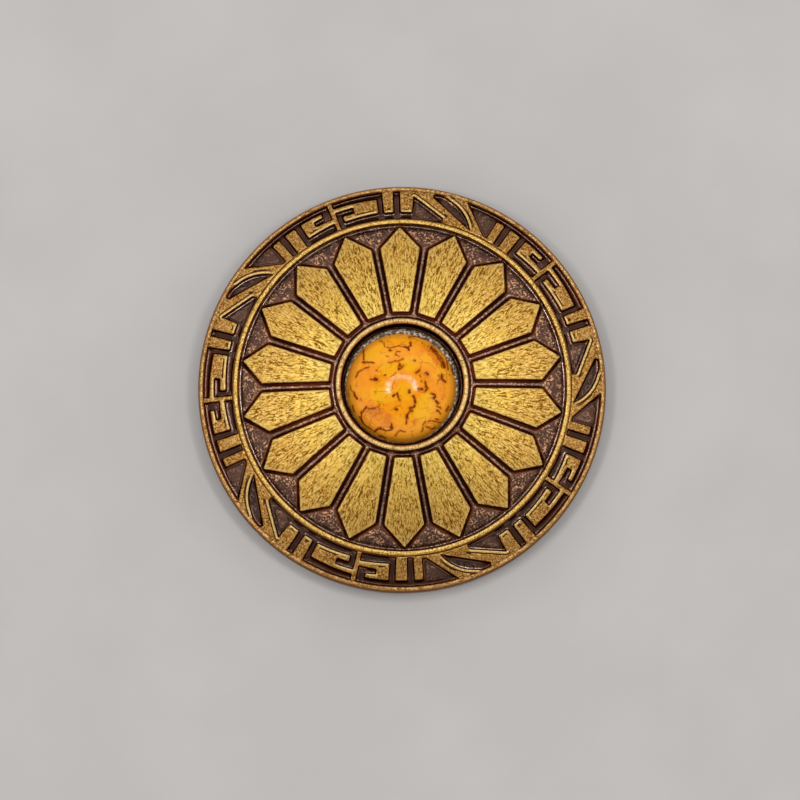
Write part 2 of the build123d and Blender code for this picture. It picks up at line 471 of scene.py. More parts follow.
class Graph:
    """A node tree with short ways to add and join nodes."""

    def __init__(self, tree: bpy.types.NodeTree) -> None:
        """Works on tree."""
        self.tree = tree

    def add(self, kind: str, settings: dict[str, Any] | None = None, **inputs: Any) -> bpy.types.Node:
        """A new node.

        Args:
            kind: the node's type.
            settings: properties of the node.
            inputs: values or sockets, by input name with underscores for blanks, or in0, in1 for places.

        Returns:
            The node.
        """
        node = self.tree.nodes.new(kind)
        for key, value in (settings or {}).items():
            setattr(node, key, value)
        self.feed(node, **inputs)
        return node

    def feed(self, node: bpy.types.Node, **inputs: Any) -> None:
        """Sets or links inputs of a node, named as for add."""
        for key, value in inputs.items():
            by_place = key.startswith("in") and key[2:].isdigit()
            socket = node.inputs[int(key[2:]) if by_place else key.replace("_", " ")]
            if isinstance(value, bpy.types.Node):
                value = value.outputs[0]
            if isinstance(value, Socket):
                self.tree.links.new(value, socket)
            else:
                socket.default_value = value

    def math(self, operation: str, a: Any, b: Any, clamp: bool = False) -> Socket:
        """The result of a two-value sum."""
        settings = {"operation": operation, "use_clamp": clamp}
        return self.add("ShaderNodeMath", settings, in0=a, in1=b).outputs[0]

    def times(self, first: Any, *others: Any, clamp: bool = False) -> Socket:
        """The product of two or more values, clamped at the end if asked."""
        for k, other in enumerate(others, 1):
            first = self.math("MULTIPLY", first, other, clamp and k == len(others))
        return first

    def vector(self, operation: str, a: Any, output: int = 0, **inputs: Any) -> Socket:
        """The result of a vector sum; a length is its output 1."""
        return self.add("ShaderNodeVectorMath", {"operation": operation}, in0=a, **inputs).outputs[output]

    def split(self, vector: Any) -> tuple[Socket, ...]:
        """The X, Y and Z of a vector."""
        return tuple(self.add("ShaderNodeSeparateXYZ", None, in0=vector).outputs)

    def place(self) -> Socket:
        """Object coordinates, in metres."""
        return self.add("ShaderNodeTexCoord").outputs["Object"]

    def place_mm(self) -> Socket:
        """Object coordinates, in mm."""
        return self.vector("SCALE", self.place(), Scale=1.0 / MM)

    def step(self, value: Any, low: float, high: float, start: float = 0.0, end: float = 1.0) -> Socket:
        """A soft step of value between low and high."""
        return self.add("ShaderNodeMapRange", {"interpolation_type": "SMOOTHSTEP"},
                        in0=value, in1=low, in2=high, in3=start, in4=end).outputs[0]

    def between(self, share: Any, a: Any, b: Any) -> Socket:
        """A number between a and b."""
        return self.add("ShaderNodeMix", {"data_type": "FLOAT"}, in0=share, in2=a, in3=b).outputs[0]

    def mix(self, share: Any, a: Any, b: Any) -> Socket:
        """A colour between a and b."""
        a, b = ((*value, 1.0) if isinstance(value, tuple) else value for value in (a, b))
        return self.add("ShaderNodeMix", {"data_type": "RGBA"}, in0=share, in6=a, in7=b).outputs[2]

    def ramp(self, value: Any, stops: Sequence[tuple[float, Any]]) -> Socket:
        """A colour or a grey that changes along value, from pairs (value, colour or grey)."""
        low, high = stops[0][0], stops[-1][0]
        share = self.add("ShaderNodeMapRange", None, in0=value, in1=low, in2=high).outputs[0]
        node = self.add("ShaderNodeValToRGB", None, in0=share)
        elements = node.color_ramp.elements
        while len(elements) < len(stops):
            elements.new(1.0)
        for element, (place, colour) in zip(elements, stops):
            element.position = (place - low) / (high - low)
            element.color = (*colour, 1.0) if isinstance(colour, tuple) else (colour, colour, colour, 1.0)
        return node.outputs[0]

    def noise(self, vector: Any, scale: float, detail: float = 3.0, roughness: float = 0.55) -> Socket:
        """Fractal noise, 0 to 1."""
        return self.add("ShaderNodeTexNoise", None, Vector=vector, Scale=scale, Detail=detail,
                        Roughness=roughness).outputs[0]

    def bump(self, height: Any, strength: float, distance: float) -> bpy.types.Node:
        """A normal from a height; distance is in metres."""
        return self.add("ShaderNodeBump", None, Strength=strength, Distance=distance, Height=height)

    def attribute(self, name: str) -> Socket:
        """A float attribute of the mesh."""
        return self.add("ShaderNodeAttribute", {"attribute_name": name}).outputs["Fac"]

    def group(self, tree: bpy.types.NodeTree, **inputs: Any) -> dict[str, Socket]:
        """The outputs, by name, of a node that places a group."""
        return {out.name: out for out in self.add("ShaderNodeGroup", {"node_tree": tree}, **inputs).outputs}


def new_group(kind: str, name: str, takes: dict[str, tuple[str, Any]],
              gives: dict[str, str]) -> tuple[Graph, bpy.types.Node, bpy.types.Node]:
    """A new node group with its input and output nodes.

    Args:
        kind: ShaderNodeTree or GeometryNodeTree.
        name: the group's name.
        takes: socket type and default by input name.
        gives: socket type by output name.

    Returns:
        The graph, its Group Input node and its Group Output node.
    """
    tree = bpy.data.node_groups.new(name, kind)
    for key, (socket_type, default) in takes.items():
        socket = tree.interface.new_socket(key, in_out="INPUT", socket_type=socket_type)
        if default is not None:
            socket.default_value = default
    for key, socket_type in gives.items():
        tree.interface.new_socket(key, in_out="OUTPUT", socket_type=socket_type)
    graph = Graph(tree)
    return graph, graph.add("NodeGroupInput"), graph.add("NodeGroupOutput")


def bake_nodes(thing: bpy.types.Object, tree: bpy.types.NodeTree, values: dict[str, Any]) -> None:
    """Runs a Geometry Nodes tree on an object and keeps the result as its plain mesh."""
    modifier = thing.modifiers.new(tree.name, "NODES")
    modifier.node_group = tree
    for item in tree.interface.items_tree:
        if item.item_type == "SOCKET" and item.in_out == "INPUT" and item.name in values:
            modifier[item.identifier] = values[item.name]
    result = bpy.data.meshes.new_from_object(thing.evaluated_get(bpy.context.evaluated_depsgraph_get()))
    thing.modifiers.remove(modifier)
    old = thing.data
    thing.data = result
    bpy.data.meshes.remove(old)
    result.name = thing.name


# Finishes


def material_graph(name: str) -> tuple[bpy.types.Material, Graph, bpy.types.Node]:
    """A new material, its graph and its Principled BSDF."""
    material = bpy.data.materials.new(name)
    material.use_nodes = True
    return material, Graph(material.node_tree), material.node_tree.nodes["Principled BSDF"]


class SharedEffects:
    """Node groups that more than one finish uses."""

    def __init__(self) -> None:
        """Builds the groups once."""
        self.polar = self._polar()
        self.grain = self._grain()
        self.scratches = self._scratches()

    def _polar(self) -> bpy.types.NodeTree:
        """Coordinates in mm that run round and out from the Z axis, without a seam."""
        takes = {"Around": ("NodeSocketFloat", 100.0), "Outward": ("NodeSocketFloat", 4.0)}
        gives = {"Vector": "NodeSocketVector", "Radius": "NodeSocketFloat"}
        graph, start, end = new_group("ShaderNodeTree", "Polar coordinates", takes, gives)
        x, y, _ = graph.split(graph.place())
        flat = graph.add("ShaderNodeCombineXYZ", None, X=x, Y=y)
        radius = graph.times(graph.vector("LENGTH", flat, output=1), 1.0 / MM)
        unit = graph.vector("NORMALIZE", flat)
        x, y, _ = graph.split(graph.vector("SCALE", unit, Scale=start.outputs["Around"]))
        out = graph.times(radius, start.outputs["Outward"])
        graph.feed(end, Vector=graph.add("ShaderNodeCombineXYZ", None, X=x, Y=y, Z=out), Radius=radius)
        return graph.tree

    def _grain(self) -> bpy.types.NodeTree:
        """Cast grain: fine pits and soft lumps from Object coordinates."""
        takes = {"Fine": ("NodeSocketFloat", 14.0), "Coarse": ("NodeSocketFloat", 3.0)}
        gives = {"Pits": "NodeSocketFloat", "Lumps": "NodeSocketFloat"}
        graph, start, end = new_group("ShaderNodeTree", "Cast grain", takes, gives)
        place = graph.place_mm()
        graph.feed(end, Pits=graph.noise(place, start.outputs["Fine"], 3.0, 0.6),
                   Lumps=graph.noise(place, start.outputs["Coarse"], 2.0, 0.5))
        return graph.tree

    def _scratches(self) -> bpy.types.NodeTree:
        """Sparse thin scratches that run one way across the Object coordinates."""
        takes = {"Turn": ("NodeSocketFloat", 0.0), "Fineness": ("NodeSocketFloat", 9.0)}
        graph, start, end = new_group("ShaderNodeTree", "Fine scratches", takes, {"Mask": "NodeSocketFloat"})
        turned = graph.add("ShaderNodeVectorRotate", {"rotation_type": "Z_AXIS"}, Vector=graph.place(),
                           Angle=start.outputs["Turn"])
        x, y, _ = graph.split(turned)
        along, across = graph.times(x, 0.55 / MM), graph.times(y, 1.0 / MM, start.outputs["Fineness"])
        line = graph.noise(graph.add("ShaderNodeCombineXYZ", None, X=along, Y=across), 1.0, 1.0, 0.5)
        graph.feed(end, Mask=graph.step(line, 0.66, 0.72))
        return graph.tree


class BrassSurface:
    """What every part of the brass finish reads: the mesh's own values, its radius and its grain."""

    def __init__(self, graph: Graph, effects: SharedEffects) -> None:
        """Adds the nodes to graph."""
        self.graph = graph
        self.effects = effects
        # shine marks where painted highlight lines go
        self.distance, self.back, self.ledge, self.shine = (
            graph.attribute(name) for name in ("edge_distance", "patina", "ledge", "shine"))
        self.radius = graph.group(effects.polar)["Radius"]
        fine = graph.group(effects.grain, Fine=6.2, Coarse=0.7)
        self.coarse = graph.group(effects.grain, Fine=5.4, Coarse=1.1)
        self.pits, self.lumps = fine["Pits"], fine["Lumps"]
        self.open_floor = graph.step(self.distance, -0.24, -0.44)
        inner, outer = (self.brushing(turns, out, 4.0, 0.72) for turns, out in ((60.0, 2.1), (98.0, 2.2)))
        streaks = graph.between(self.outwards(9.2, 10.6), inner, outer)
        mixed = graph.math("ADD", graph.times(streaks, 0.75), graph.times(self.pits, 0.25))
        self.pattern = graph.between(self.outwards(15.0, 15.8), mixed, self.pits)

    def brushing(self, turns: float, out: float, detail: float, roughness: float) -> Socket:
        """Noise that is drawn out from the middle; turns and out say how fine it is either way."""
        vector = self.graph.group(self.effects.polar, Around=turns, Outward=out)["Vector"]
        return self.graph.noise(vector, 1.0, detail, roughness)

    def outwards(self, low: float, high: float, start: float = 0.0, end: float = 1.0) -> Socket:
        """A soft step between two radii in mm."""
        return self.graph.step(self.radius, low, high, start, end)

    def band(self, low: float, peak: float, past: float, high: float) -> Socket:
        """A band of distances from an edge, full from peak to past."""
        step = self.graph.step
        return self.graph.times(step(self.distance, low, peak), step(self.distance, high, past))


@dataclass(frozen=True)
class AntiqueBrass:
    """Brushed brass lands over dark, half-gloss patina in the recesses."""

    # Land colour by radius. From 18.54 mm out the bands also paint the rim roll's light: darker on its inner
    # side, lighter at its crest, and a dark outer edge that is partly painted shade and partly the edge's
    # dark finish.
    tones: tuple[tuple[float, Colour], ...] = (
        (0.0, (0.79, 0.53, 0.21)), (5.7, (0.83, 0.56, 0.25)), (6.1, (0.85, 0.60, 0.23)),
        (6.6, (0.73, 0.50, 0.10)), (8.5, (0.81, 0.53, 0.098)), (12.0, (0.80, 0.465, 0.093)),
        (15.2, (0.76, 0.43, 0.092)), (15.32, (0.76, 0.475, 0.14)), (15.55, (0.76, 0.475, 0.125)),
        (15.72, (0.515, 0.295, 0.06)), (16.0, (0.56, 0.27, 0.066)), (18.4, (0.56, 0.27, 0.07)),
        (18.54, (0.38, 0.19, 0.07)), (18.64, (0.53, 0.28, 0.112)), (18.72, (0.64, 0.345, 0.137)),
        (18.80, (0.65, 0.335, 0.117)), (18.86, (0.40, 0.17, 0.05)), (18.92, (0.15, 0.05, 0.015)),
        (19.05, (0.078, 0.026, 0.0095)))
    brown: Colour = (0.205, 0.078, 0.006)
    pale: Colour = (0.82, 0.66, 0.25)
    # painted highlight: colour of the lips on edges that face the centre
    lip: Colour = (0.845, 0.603, 0.224)
    groove: Colour = (0.06, 0.021, 0.0069)
    patina: Colour = (0.119, 0.063, 0.047)
    field: Colour = (0.095, 0.049, 0.037)
    # painted shade and bounce light: reddish colours at the feet of the recess walls
    wall_shade_red: Colour = (0.164, 0.055, 0.025)
    channel_wall_shade_red: Colour = (0.24, 0.088, 0.05)
    # painted highlight: grey colour for the highlight lines in the recesses
    painted_highlight_grey: Colour = (0.534, 0.457, 0.414)
    speck: Colour = (0.741, 0.397, 0.207)
    back: Colour = (0.078, 0.037, 0.024)
    aged: Colour = (0.125, 0.055, 0.027)
    rubbed: Colour = (0.50, 0.27, 0.085)
    tint: Colour = (0.85, 0.62, 0.42)
    stipple: tuple[Point, ...] = (
        (0.0, 0.65), (5.7, 0.65), (6.1, 0.65), (6.7, 0.95), (9.0, 1.05), (12.5, 1.25), (15.2, 1.25),
        (15.32, 0.7), (15.6, 0.7), (15.8, 0.85), (18.4, 0.9), (18.55, 0.8), (18.85, 0.7), (19.0, 0.30))
    scratches: tuple[Point, ...] = ((0.5, 9.0), (-0.9, 8.0), (1.9, 10.0))

    def land(self, surface: BrassSurface) -> Socket:
        """Colour of the lands: brushed, stippled, flecked and scratched, with painted highlights on the lips
        and a dark line beside them.
        """
        graph, outwards = surface.graph, surface.outwards
        # the ramp's rim bands paint highlight and shade on the rolled rim
        tone = graph.ramp(surface.radius, self.tones)
        patches = graph.step(surface.lumps, 0.3, 0.7, 0.6, 1.25)
        amount = graph.times(graph.ramp(surface.radius, self.stipple), patches)
        runs = graph.step(surface.brushing(44.0, 0.5, 3.0, 0.6), 0.36, 0.62, 0.45, 1.4)
        amount = graph.times(amount, graph.between(outwards(15.0, 15.3), runs, 1.0))
        stippled = graph.times(graph.step(surface.pattern, 0.48, 0.57), amount, clamp=True)
        tone = graph.mix(stippled, tone, self.brown)
        flecks = graph.times(outwards(15.55, 15.9, 0.9, 0.5), outwards(18.92, 18.78, 0.3, 1.0))
        tone = graph.mix(graph.times(graph.step(surface.pattern, 0.46, 0.40), flecks), tone, self.pale)
        for turn, fineness in self.scratches:
            scratch = graph.group(surface.effects.scratches, Turn=turn, Fineness=fineness)["Mask"]
            tone = graph.mix(graph.times(scratch, outwards(18.88, 18.75, 0.0, 0.8)), tone, self.brown)
        # painted highlight: lip colour on the rounded edges that face the centre, broken by the pits
        lip = graph.times(surface.band(0.02, 0.05, 0.19, 0.24),
                          graph.step(surface.pits, 0.62, 0.45, 0.5, 1.0), surface.ledge)
        tone = graph.mix(lip, tone, self.lip)
        dip = graph.times(surface.band(0.21, 0.26, 0.33, 0.39), graph.step(surface.ledge, 0.4, 0.8))
        return graph.mix(dip, tone, self.groove)

    def recess(self, surface: BrassSurface) -> Socket:
        """Colour of the recesses: patina with worn specks and dark spots, a redder tone at the walls' feet
        painted for shade and bounce light, painted shade beside the channels' middles, and painted highlight
        lines.
        """
        graph, distance, outwards = surface.graph, surface.distance, surface.outwards
        border = outwards(15.3, 15.8)
        # painted shade and bounce light: near the walls the floor takes the reddish wall colour
        low = graph.between(border, graph.step(distance, -0.22, -0.52), graph.step(distance, -0.04, -0.26))
        side = graph.mix(outwards(12.6, 13.2), self.channel_wall_shade_red, self.wall_shade_red)
        floor = graph.mix(low, side, graph.mix(border, self.field, self.patina))
        # painted shade: the bead's inner wall and the floor at its foot are darkened
        bead_wall_shade = graph.times(outwards(15.08, 15.16), outwards(15.36, 15.28, 0.0, 0.65))
        floor = graph.mix(bead_wall_shade, floor, self.groove)
        # painted shade: a dark band beside each channel's middle narrows the highlight line; the spots are
        # dark stains
        line = graph.times(surface.band(-0.17, -0.25, -0.35, -0.41), 0.8)
        spots = graph.times(graph.step(surface.pits, 0.58, 0.48, 0.0, 0.95),
                            graph.step(distance, -0.32, -0.46))
        spots_and_painted_shade = graph.times(graph.math("MAXIMUM", line, spots), outwards(13.2, 12.6))
        floor = graph.mix(spots_and_painted_shade, floor, self.groove)
        specks = graph.step(surface.coarse["Pits"], 0.51, 0.59)
        patches = graph.step(surface.coarse["Lumps"], 0.36, 0.56, 0.1, 1.0)
        worn = graph.times(specks, patches, surface.open_floor, outwards(15.3, 15.8, 0.95, 0.45))
        floor = graph.mix(worn, floor, self.speck)
        lumps = graph.step(surface.lumps, 0.40, 0.60, 0.45, 1.4)
        pits = graph.step(surface.pits, 0.42, 0.56, 0.08, 1.0)
        # painted highlight: grey lines where the mesh's shine value is set, broken by lumps and pits
        return graph.mix(graph.times(surface.shine, lumps, pits, clamp=True), floor, self.painted_highlight_grey)

    def underside(self, surface: BrassSurface) -> Socket:
        """Colour of the mottled back and of the rubbed foot ring."""
        graph, outwards = surface.graph, surface.outwards
        tone = graph.mix(graph.step(surface.coarse["Lumps"], 0.38, 0.62), self.back, self.aged)
        tone = graph.mix(graph.step(surface.coarse["Pits"], 0.50, 0.62, 0.0, 0.6), tone, self.patina)
        foot = graph.times(outwards(17.7, 17.9), outwards(18.92, 18.75),
                           graph.step(surface.pits, 0.56, 0.46, 0.05, 0.8))
        return graph.mix(foot, tone, self.rubbed)

    def build(self, effects: SharedEffects) -> bpy.types.Material:
        """Makes the material."""
        material, graph, shader = material_graph("Antique brass")
        surface = BrassSurface(graph, effects)
        wobble = graph.times(graph.math("SUBTRACT", surface.pits, 0.5), 0.05)
        land = graph.step(graph.math("ADD", surface.distance, wobble), -0.03, 0.015)
        land = graph.times(land, graph.math("SUBTRACT", 1.0, surface.back))
        below = graph.mix(surface.back, self.recess(surface), self.underside(surface))
        brushed = graph.step(surface.pattern, 0.35, 0.62, 0.40, 0.52)
        above = graph.between(surface.outwards(18.84, 18.93), brushed, 0.62)
        hollow = graph.between(surface.back, graph.between(surface.open_floor, 0.24, 0.38), 0.42)
        relief = graph.times(graph.math("SUBTRACT", 1.0, surface.pattern), land)
        grit = graph.times(surface.coarse["Pits"], graph.times(surface.open_floor, 1.6))
        graph.feed(shader, Base_Color=graph.mix(land, below, self.land(surface)),
                   Metallic=surface.outwards(18.84, 18.95, 1.0, 0.6),
                   Roughness=graph.between(land, hollow, above), Specular_Tint=(*self.tint, 1.0),
                   Normal=graph.bump(graph.math("ADD", relief, grit), 0.5, 0.00009))
        return material


@dataclass(frozen=True)
class OrangeStone:
    """Pressed orange stone chips with brown veins under a clear gloss."""

    bright: Colour = (1.0, 0.465, 0.006)
    yellow: Colour = (1.0, 0.425, 0.0)
    orange: Colour = (1.0, 0.325, 0.0)
    amber: Colour = (0.80, 0.22, 0.004)
    rust: Colour = (0.38, 0.07, 0.003)
    brown: Colour = (0.20, 0.024, 0.001)
    # painted light: paler orange for the crown's edge, which falls into shade
    edge: Colour = (1.0, 0.37, 0.035)

    def build(self, effects: SharedEffects) -> bpy.types.Material:
        """Makes the material."""
        material, graph, shader = material_graph("Orange stone")
        tone, vein, halo = (graph.attribute(name) for name in ("chip_tone", "vein", "vein_halo"))
        fine = graph.group(effects.grain, Fine=2.2, Coarse=0.8)
        place = graph.place_mm()
        bend = graph.add("ShaderNodeTexNoise", None, Vector=place, Scale=1.3, Detail=2.0).outputs["Color"]
        bent = graph.vector("MULTIPLY_ADD", bend, in1=(0.9, 0.9, 0.0), in2=place)
        radius = graph.vector("LENGTH", graph.vector("MULTIPLY", place, in1=(1.0, 1.0, 0.0)), output=1)
        chips = graph.add("ShaderNodeTexVoronoi", None, Vector=bent, Scale=0.85).outputs["Color"]
        large, small = (
            graph.add("ShaderNodeTexVoronoi", {"feature": "DISTANCE_TO_EDGE"}, Vector=bent, Scale=scale)
            for scale in (0.85, 1.7))
        for source, strength in ((fine["Pits"], 1.05), (graph.split(chips)[0], 0.4)):
            tone = graph.math("ADD", tone, graph.times(graph.math("SUBTRACT", source, 0.5), strength))
        colour = self.amber
        for low, high, richer in (
                (-0.1, 0.45, self.orange), (0.45, 1.0, self.yellow), (1.05, 1.3, self.bright)):
            colour = graph.mix(graph.step(tone, low, high), colour, richer)
        # painted light: the crown's outer ring is lifted towards the paler edge colour
        colour = graph.mix(graph.step(radius, 3.9, 4.4, 0.0, 0.65), colour, self.edge)
        veiled = graph.step(graph.noise(place, 1.1, 2.0, 0.5), 0.59, 0.69, 0.0, 0.35)
        colour = graph.mix(graph.times(graph.step(small, 0.10, 0.03), veiled), colour, self.rust)
        colour = graph.mix(graph.times(halo, 0.35), colour, self.rust)
        crack = graph.times(graph.step(large, 0.05, 0.014), graph.step(fine["Lumps"], 0.47, 0.58, 0.0, 0.5))
        speckle = graph.step(graph.noise(place, 5.5, 2.0, 0.5), 0.38, 0.52, 0.6, 1.3)
        dark = graph.math("MAXIMUM", graph.times(vein, speckle, clamp=True), crack)
        gloss = graph.times(graph.step(dark, 0.0, 1.0, 1.0, 0.15), graph.step(radius, 2.1, 3.1, 1.0, 0.5))
        graph.feed(shader, Base_Color=graph.mix(dark, colour, self.brown), Coat_Weight=gloss, Roughness=0.5,
                   Specular_IOR_Level=0.0, Coat_IOR=1.5, Coat_Roughness=0.16, Subsurface_Weight=0.2,
                   Subsurface_Radius=(1.0, 0.5, 0.2), Subsurface_Scale=0.0005)
        return material


@dataclass(frozen=True)
class SettingBed:
    """Rough grey bed round the foot of the stone."""

    pale: Colour = (0.793, 0.655, 0.483)
    dark: Colour = (0.103, 0.073, 0.056)

    def build(self, effects: SharedEffects) -> bpy.types.Material:
        """Makes the material."""
        material, graph, shader = material_graph("Setting bed")
        grit = graph.group(effects.grain, Fine=4.2, Coarse=2.0)["Pits"]
        graph.feed(shader, Base_Color=graph.mix(graph.step(grit, 0.49, 0.60), self.dark, self.pale),
                   Roughness=0.45, Normal=graph.bump(grit, 0.6, 0.0001))
        return material


@dataclass(frozen=True)
class PlainBrass:
    """Turned brass with a faint, even grain."""

    bright: Colour = (0.69, 0.5, 0.216)
    dull: Colour = (0.431, 0.293, 0.112)

    def build(self, effects: SharedEffects) -> bpy.types.Material:
        """Makes the material."""
        material, graph, shader = material_graph("Plain brass")
        grain = graph.group(effects.grain, Fine=12.0, Coarse=1.5)
        tone = graph.mix(graph.step(grain["Lumps"], 0.35, 0.7), self.bright, self.dull)
        graph.feed(shader, Base_Color=tone, Metallic=1.0,
                   Roughness=graph.step(grain["Pits"], 0.3, 0.7, 0.26, 0.42),
                   Normal=graph.bump(grain["Pits"], 0.2, 0.00003))
        return material


# The casting


@dataclass
class FretBorder:
    """One of the five border repeats: two key hooks, a divider bar and a leaf, as recesses in the land."""

    start: float = 50.3
    repeats: int = 5
    inner_r: float = 15.78
    width: float = 2.71
    corner_cut: float = 0.13
    step: float = 0.3
    fill_step: float = 0.5
    fill_gap: float = 0.3
    fill_radii: Point = (16.05, 18.3)
    cut_radii: tuple[float, float, float] = (16.07, 18.34, 0.13)
    land_radii: Point = (15.80, 18.46)
    ring_gap: float = 0.18
    ring_slack: float = -0.002
    wall_top: Point = (-0.05, 0.02)
    # painted highlight: a grey line in the recess floor inside edges that face the centre
    ledge_shine: float = 0.36
    ledge_line: tuple[float, float, float, float] = (-0.30, -0.22, -0.15, -0.10)
    ledge_facing: Point = (0.35, 0.6)
    ledge_end: Point = (18.2, 18.42)
    least_ledge: float = 0.02
    groove_r: float = 15.745
    groove_half: float = 0.035
    lip_r: float = 15.31
    lip_end: float = 15.9
    hook_before: tuple[Point, ...] = (
        (-31.0, 1.0), (-0.6, 1.0), (-0.6, 0.45), (-6.4, 0.46), (-6.4, 0.65), (-3.2, 0.67), (-3.2, 0.80),
        (-10.2, 0.80), (-10.2, 0.24), (-0.6, 0.29), (-0.6, 0.0), (-12.35, 0.0), (-12.35, 0.79),
        (-15.85, 0.79), (-15.85, 0.02), (-18.1, 0.02), (-18.1, 0.79), (-20.6, 0.79), (-20.8, 0.08),
        (-22.3, 0.08))
    hook_after: tuple[Point, ...] = (
        (0.7, 1.0), (15.8, 1.0), (15.9, 0.24), (18.9, 0.24), (19.0, 1.0), (21.1, 1.0), (21.2, 0.24),
        (24.9, 0.24), (25.1, 0.85), (35.3, 0.19), (35.5, 0.0), (0.7, 0.0), (0.7, 0.64), (6.6, 0.64),
        (6.6, 0.42), (2.7, 0.42), (2.7, 0.22), (14.0, 0.26), (14.0, 0.75), (0.7, 0.79))
    leaf_start: Point = (-41.0, 0.86)
    leaf_arcs: tuple[tuple[Point, Point], ...] = (
        ((-41.1, 0.95), (-40.4, 1.0)), ((-37.9, 0.985), (-36.1, 0.9)), ((-31.2, 0.6), (-26.9, 0.05)),
        ((-35.3, 0.465), (-41.0, 0.86)))
    cut: tuple[Point, ...] = (
        (15.27, 36.86), (15.78, 36.86), (16.46, 36.2), (17.27, 33.1), (18.22, 28.86), (18.88, 28.86))

    @property
    def pitch(self) -> float:
        """Angle from one repeat to the next."""
        return 360.0 / self.repeats

    def place(self, turn: Array | float, share: Array | float, repeat: int = 0) -> Array:
        """Plan point at an angle from the divider bar and a share of the border's width."""
        radius = self.inner_r + self.width * np.asarray(share)
        return around(radius, self.start + np.asarray(turn) + self.pitch * repeat)

    def outlines(self, repeat: int = 0) -> list[Array]:
        """The three recesses of a repeat."""
        loops = []
        for corners in (self.hook_before, self.hook_after):
            sides = []
            for (turn_a, share_a), (turn_b, share_b) in zip(corners, corners[1:] + corners[:1]):
                if abs(share_b - share_a) < 0.1:
                    turns = np.linspace(turn_a, turn_b, max(2, int(abs(turn_b - turn_a)) + 2))
                    sides.append(self.place(turns, np.linspace(share_a, share_b, len(turns)), repeat))
                else:
                    sides.append(self.place([turn_a, turn_b], [share_a, share_b], repeat))
            loops.append(rounded_outline(sides, self.corner_cut, self.step))
        sides, last = [], self.leaf_start
        for middle, end in self.leaf_arcs:
            sides.append(arc_through(*(self.place(*p, repeat) for p in (last, middle, end))))
            last = end
        loops.append(rounded_outline(sides, self.corner_cut, self.step))
        return loops

    def cut_angle(self, r: Array) -> Array:
        """Angle of the sector's later cut at radius r."""
        radii, angles = np.array(self.cut).T
        return self.start + np.interp(r, radii, angles)

    def build(self, dome: Dome, edge: EdgeShape, rings: RingShape) -> bpy.types.Object:
        """Meshes the sector.

        Args:
            dome: the sphere under the relief.
            edge: the shape of the recesses' edges.
            rings: the shape of the bead and the rim.

        Returns:
            The sector's object, to be repeated round the axis.
        """
        near = Outlines([loop for k in (-1, 0, 1) for loop in self.outlines(k)])
        radii = np.array(sorted(set(rings.radii) | set(np.round(np.arange(*self.cut_radii), 3))))
        mesher = SectorMesher(near, radii, self.cut_angle, self.pitch)
        low, high = self.land_radii
        mesher.add_rings(rings.radii, lambda r: self.ring_gap if low <= r < high else self.ring_slack)
        common, ledged = edge.loops()
        for loop in self.outlines():
            for d in sorted(common + ledged):
                line, r, facing, keep = mesher.offset(loop, d)
                if d > 0:
                    keep &= (r > low) & (r < high)
                if d in ledged:
                    keep &= self.ledged(facing, r) > self.least_ledge
                mesher.add_line(line, keep)
        grid, r, distance = mesher.grid(self.fill_step)
        clear = (distance > self.fill_gap) | (distance < -self.fill_gap)
        mesher.points.append(grid[clear & (r > self.fill_radii[0]) & (r < self.fill_radii[1])])
        plan, faces = mesher.triangulate()
        distance, facing = near.measure(plan)
        r = np.linalg.norm(plan, axis=1)
        ledge = self.ledged(facing, r - np.maximum(distance, 0.0))
        height = edge.height(distance, ledge) + rings.height(r) * smoothstep(*self.wall_top, distance)
        # painted highlight: shine marks the grey line at the feet of walls that face the centre
        line = np.interp(distance, self.ledge_line, [0.0, 1.0, 1.0, 0.0])
        values = {"edge_distance": self.nearest_edge(r, distance), "ledge": ledge,
                  "shine": self.ledge_shine * ledge * line, "patina": np.zeros(len(r))}
        return mesh_from("fret_sector", np.column_stack([plan, dome.z(r, height)]), faces, values)

    def ledged(self, facing: Array, r: Array) -> Array:
        """How much of the ledge an edge has: only where it faces the disc's centre, and not at the rim."""
        return smoothstep(*self.ledge_facing, facing) * (1.0 - smoothstep(*self.ledge_end, r))

    def nearest_edge(self, r: Array, distance: Array) -> Array:
        """Distance to the nearest edge of any kind, below nought in recesses and grooves."""
        groove = np.abs(r - self.groove_r) - self.groove_half
        lip = np.where(r < self.lip_end, r - self.lip_r, groove)
        return np.minimum(distance, np.minimum(groove, lip))


def arc_through(start: Array, middle: Array, end: Array) -> Array:
    """Points of the circular arc from start through middle to end."""
    (ax, ay), (bx, by), (cx, cy) = start, middle, end
    d = 2 * (ax * (by - cy) + bx * (cy - ay) + cx * (ay - by))
    a2, b2, c2 = ax * ax + ay * ay, bx * bx + by * by, cx * cx + cy * cy
    centre = np.array([
        (a2 * (by - cy) + b2 * (cy - ay) + c2 * (ay - by)) / d,
        (a2 * (cx - bx) + b2 * (ax - cx) + c2 * (bx - ax)) / d])
    radius = float(np.linalg.norm(start - centre))
    first, mid, last = (math.atan2(*(p - centre)[::-1]) for p in (start, middle, end))
    sweep = (last - first) % math.tau
    if (mid - first) % math.tau > sweep:
        sweep -= math.tau
    angles = first + np.linspace(0.0, sweep, 25)
    return centre + radius * np.column_stack([np.cos(angles), np.sin(angles)])


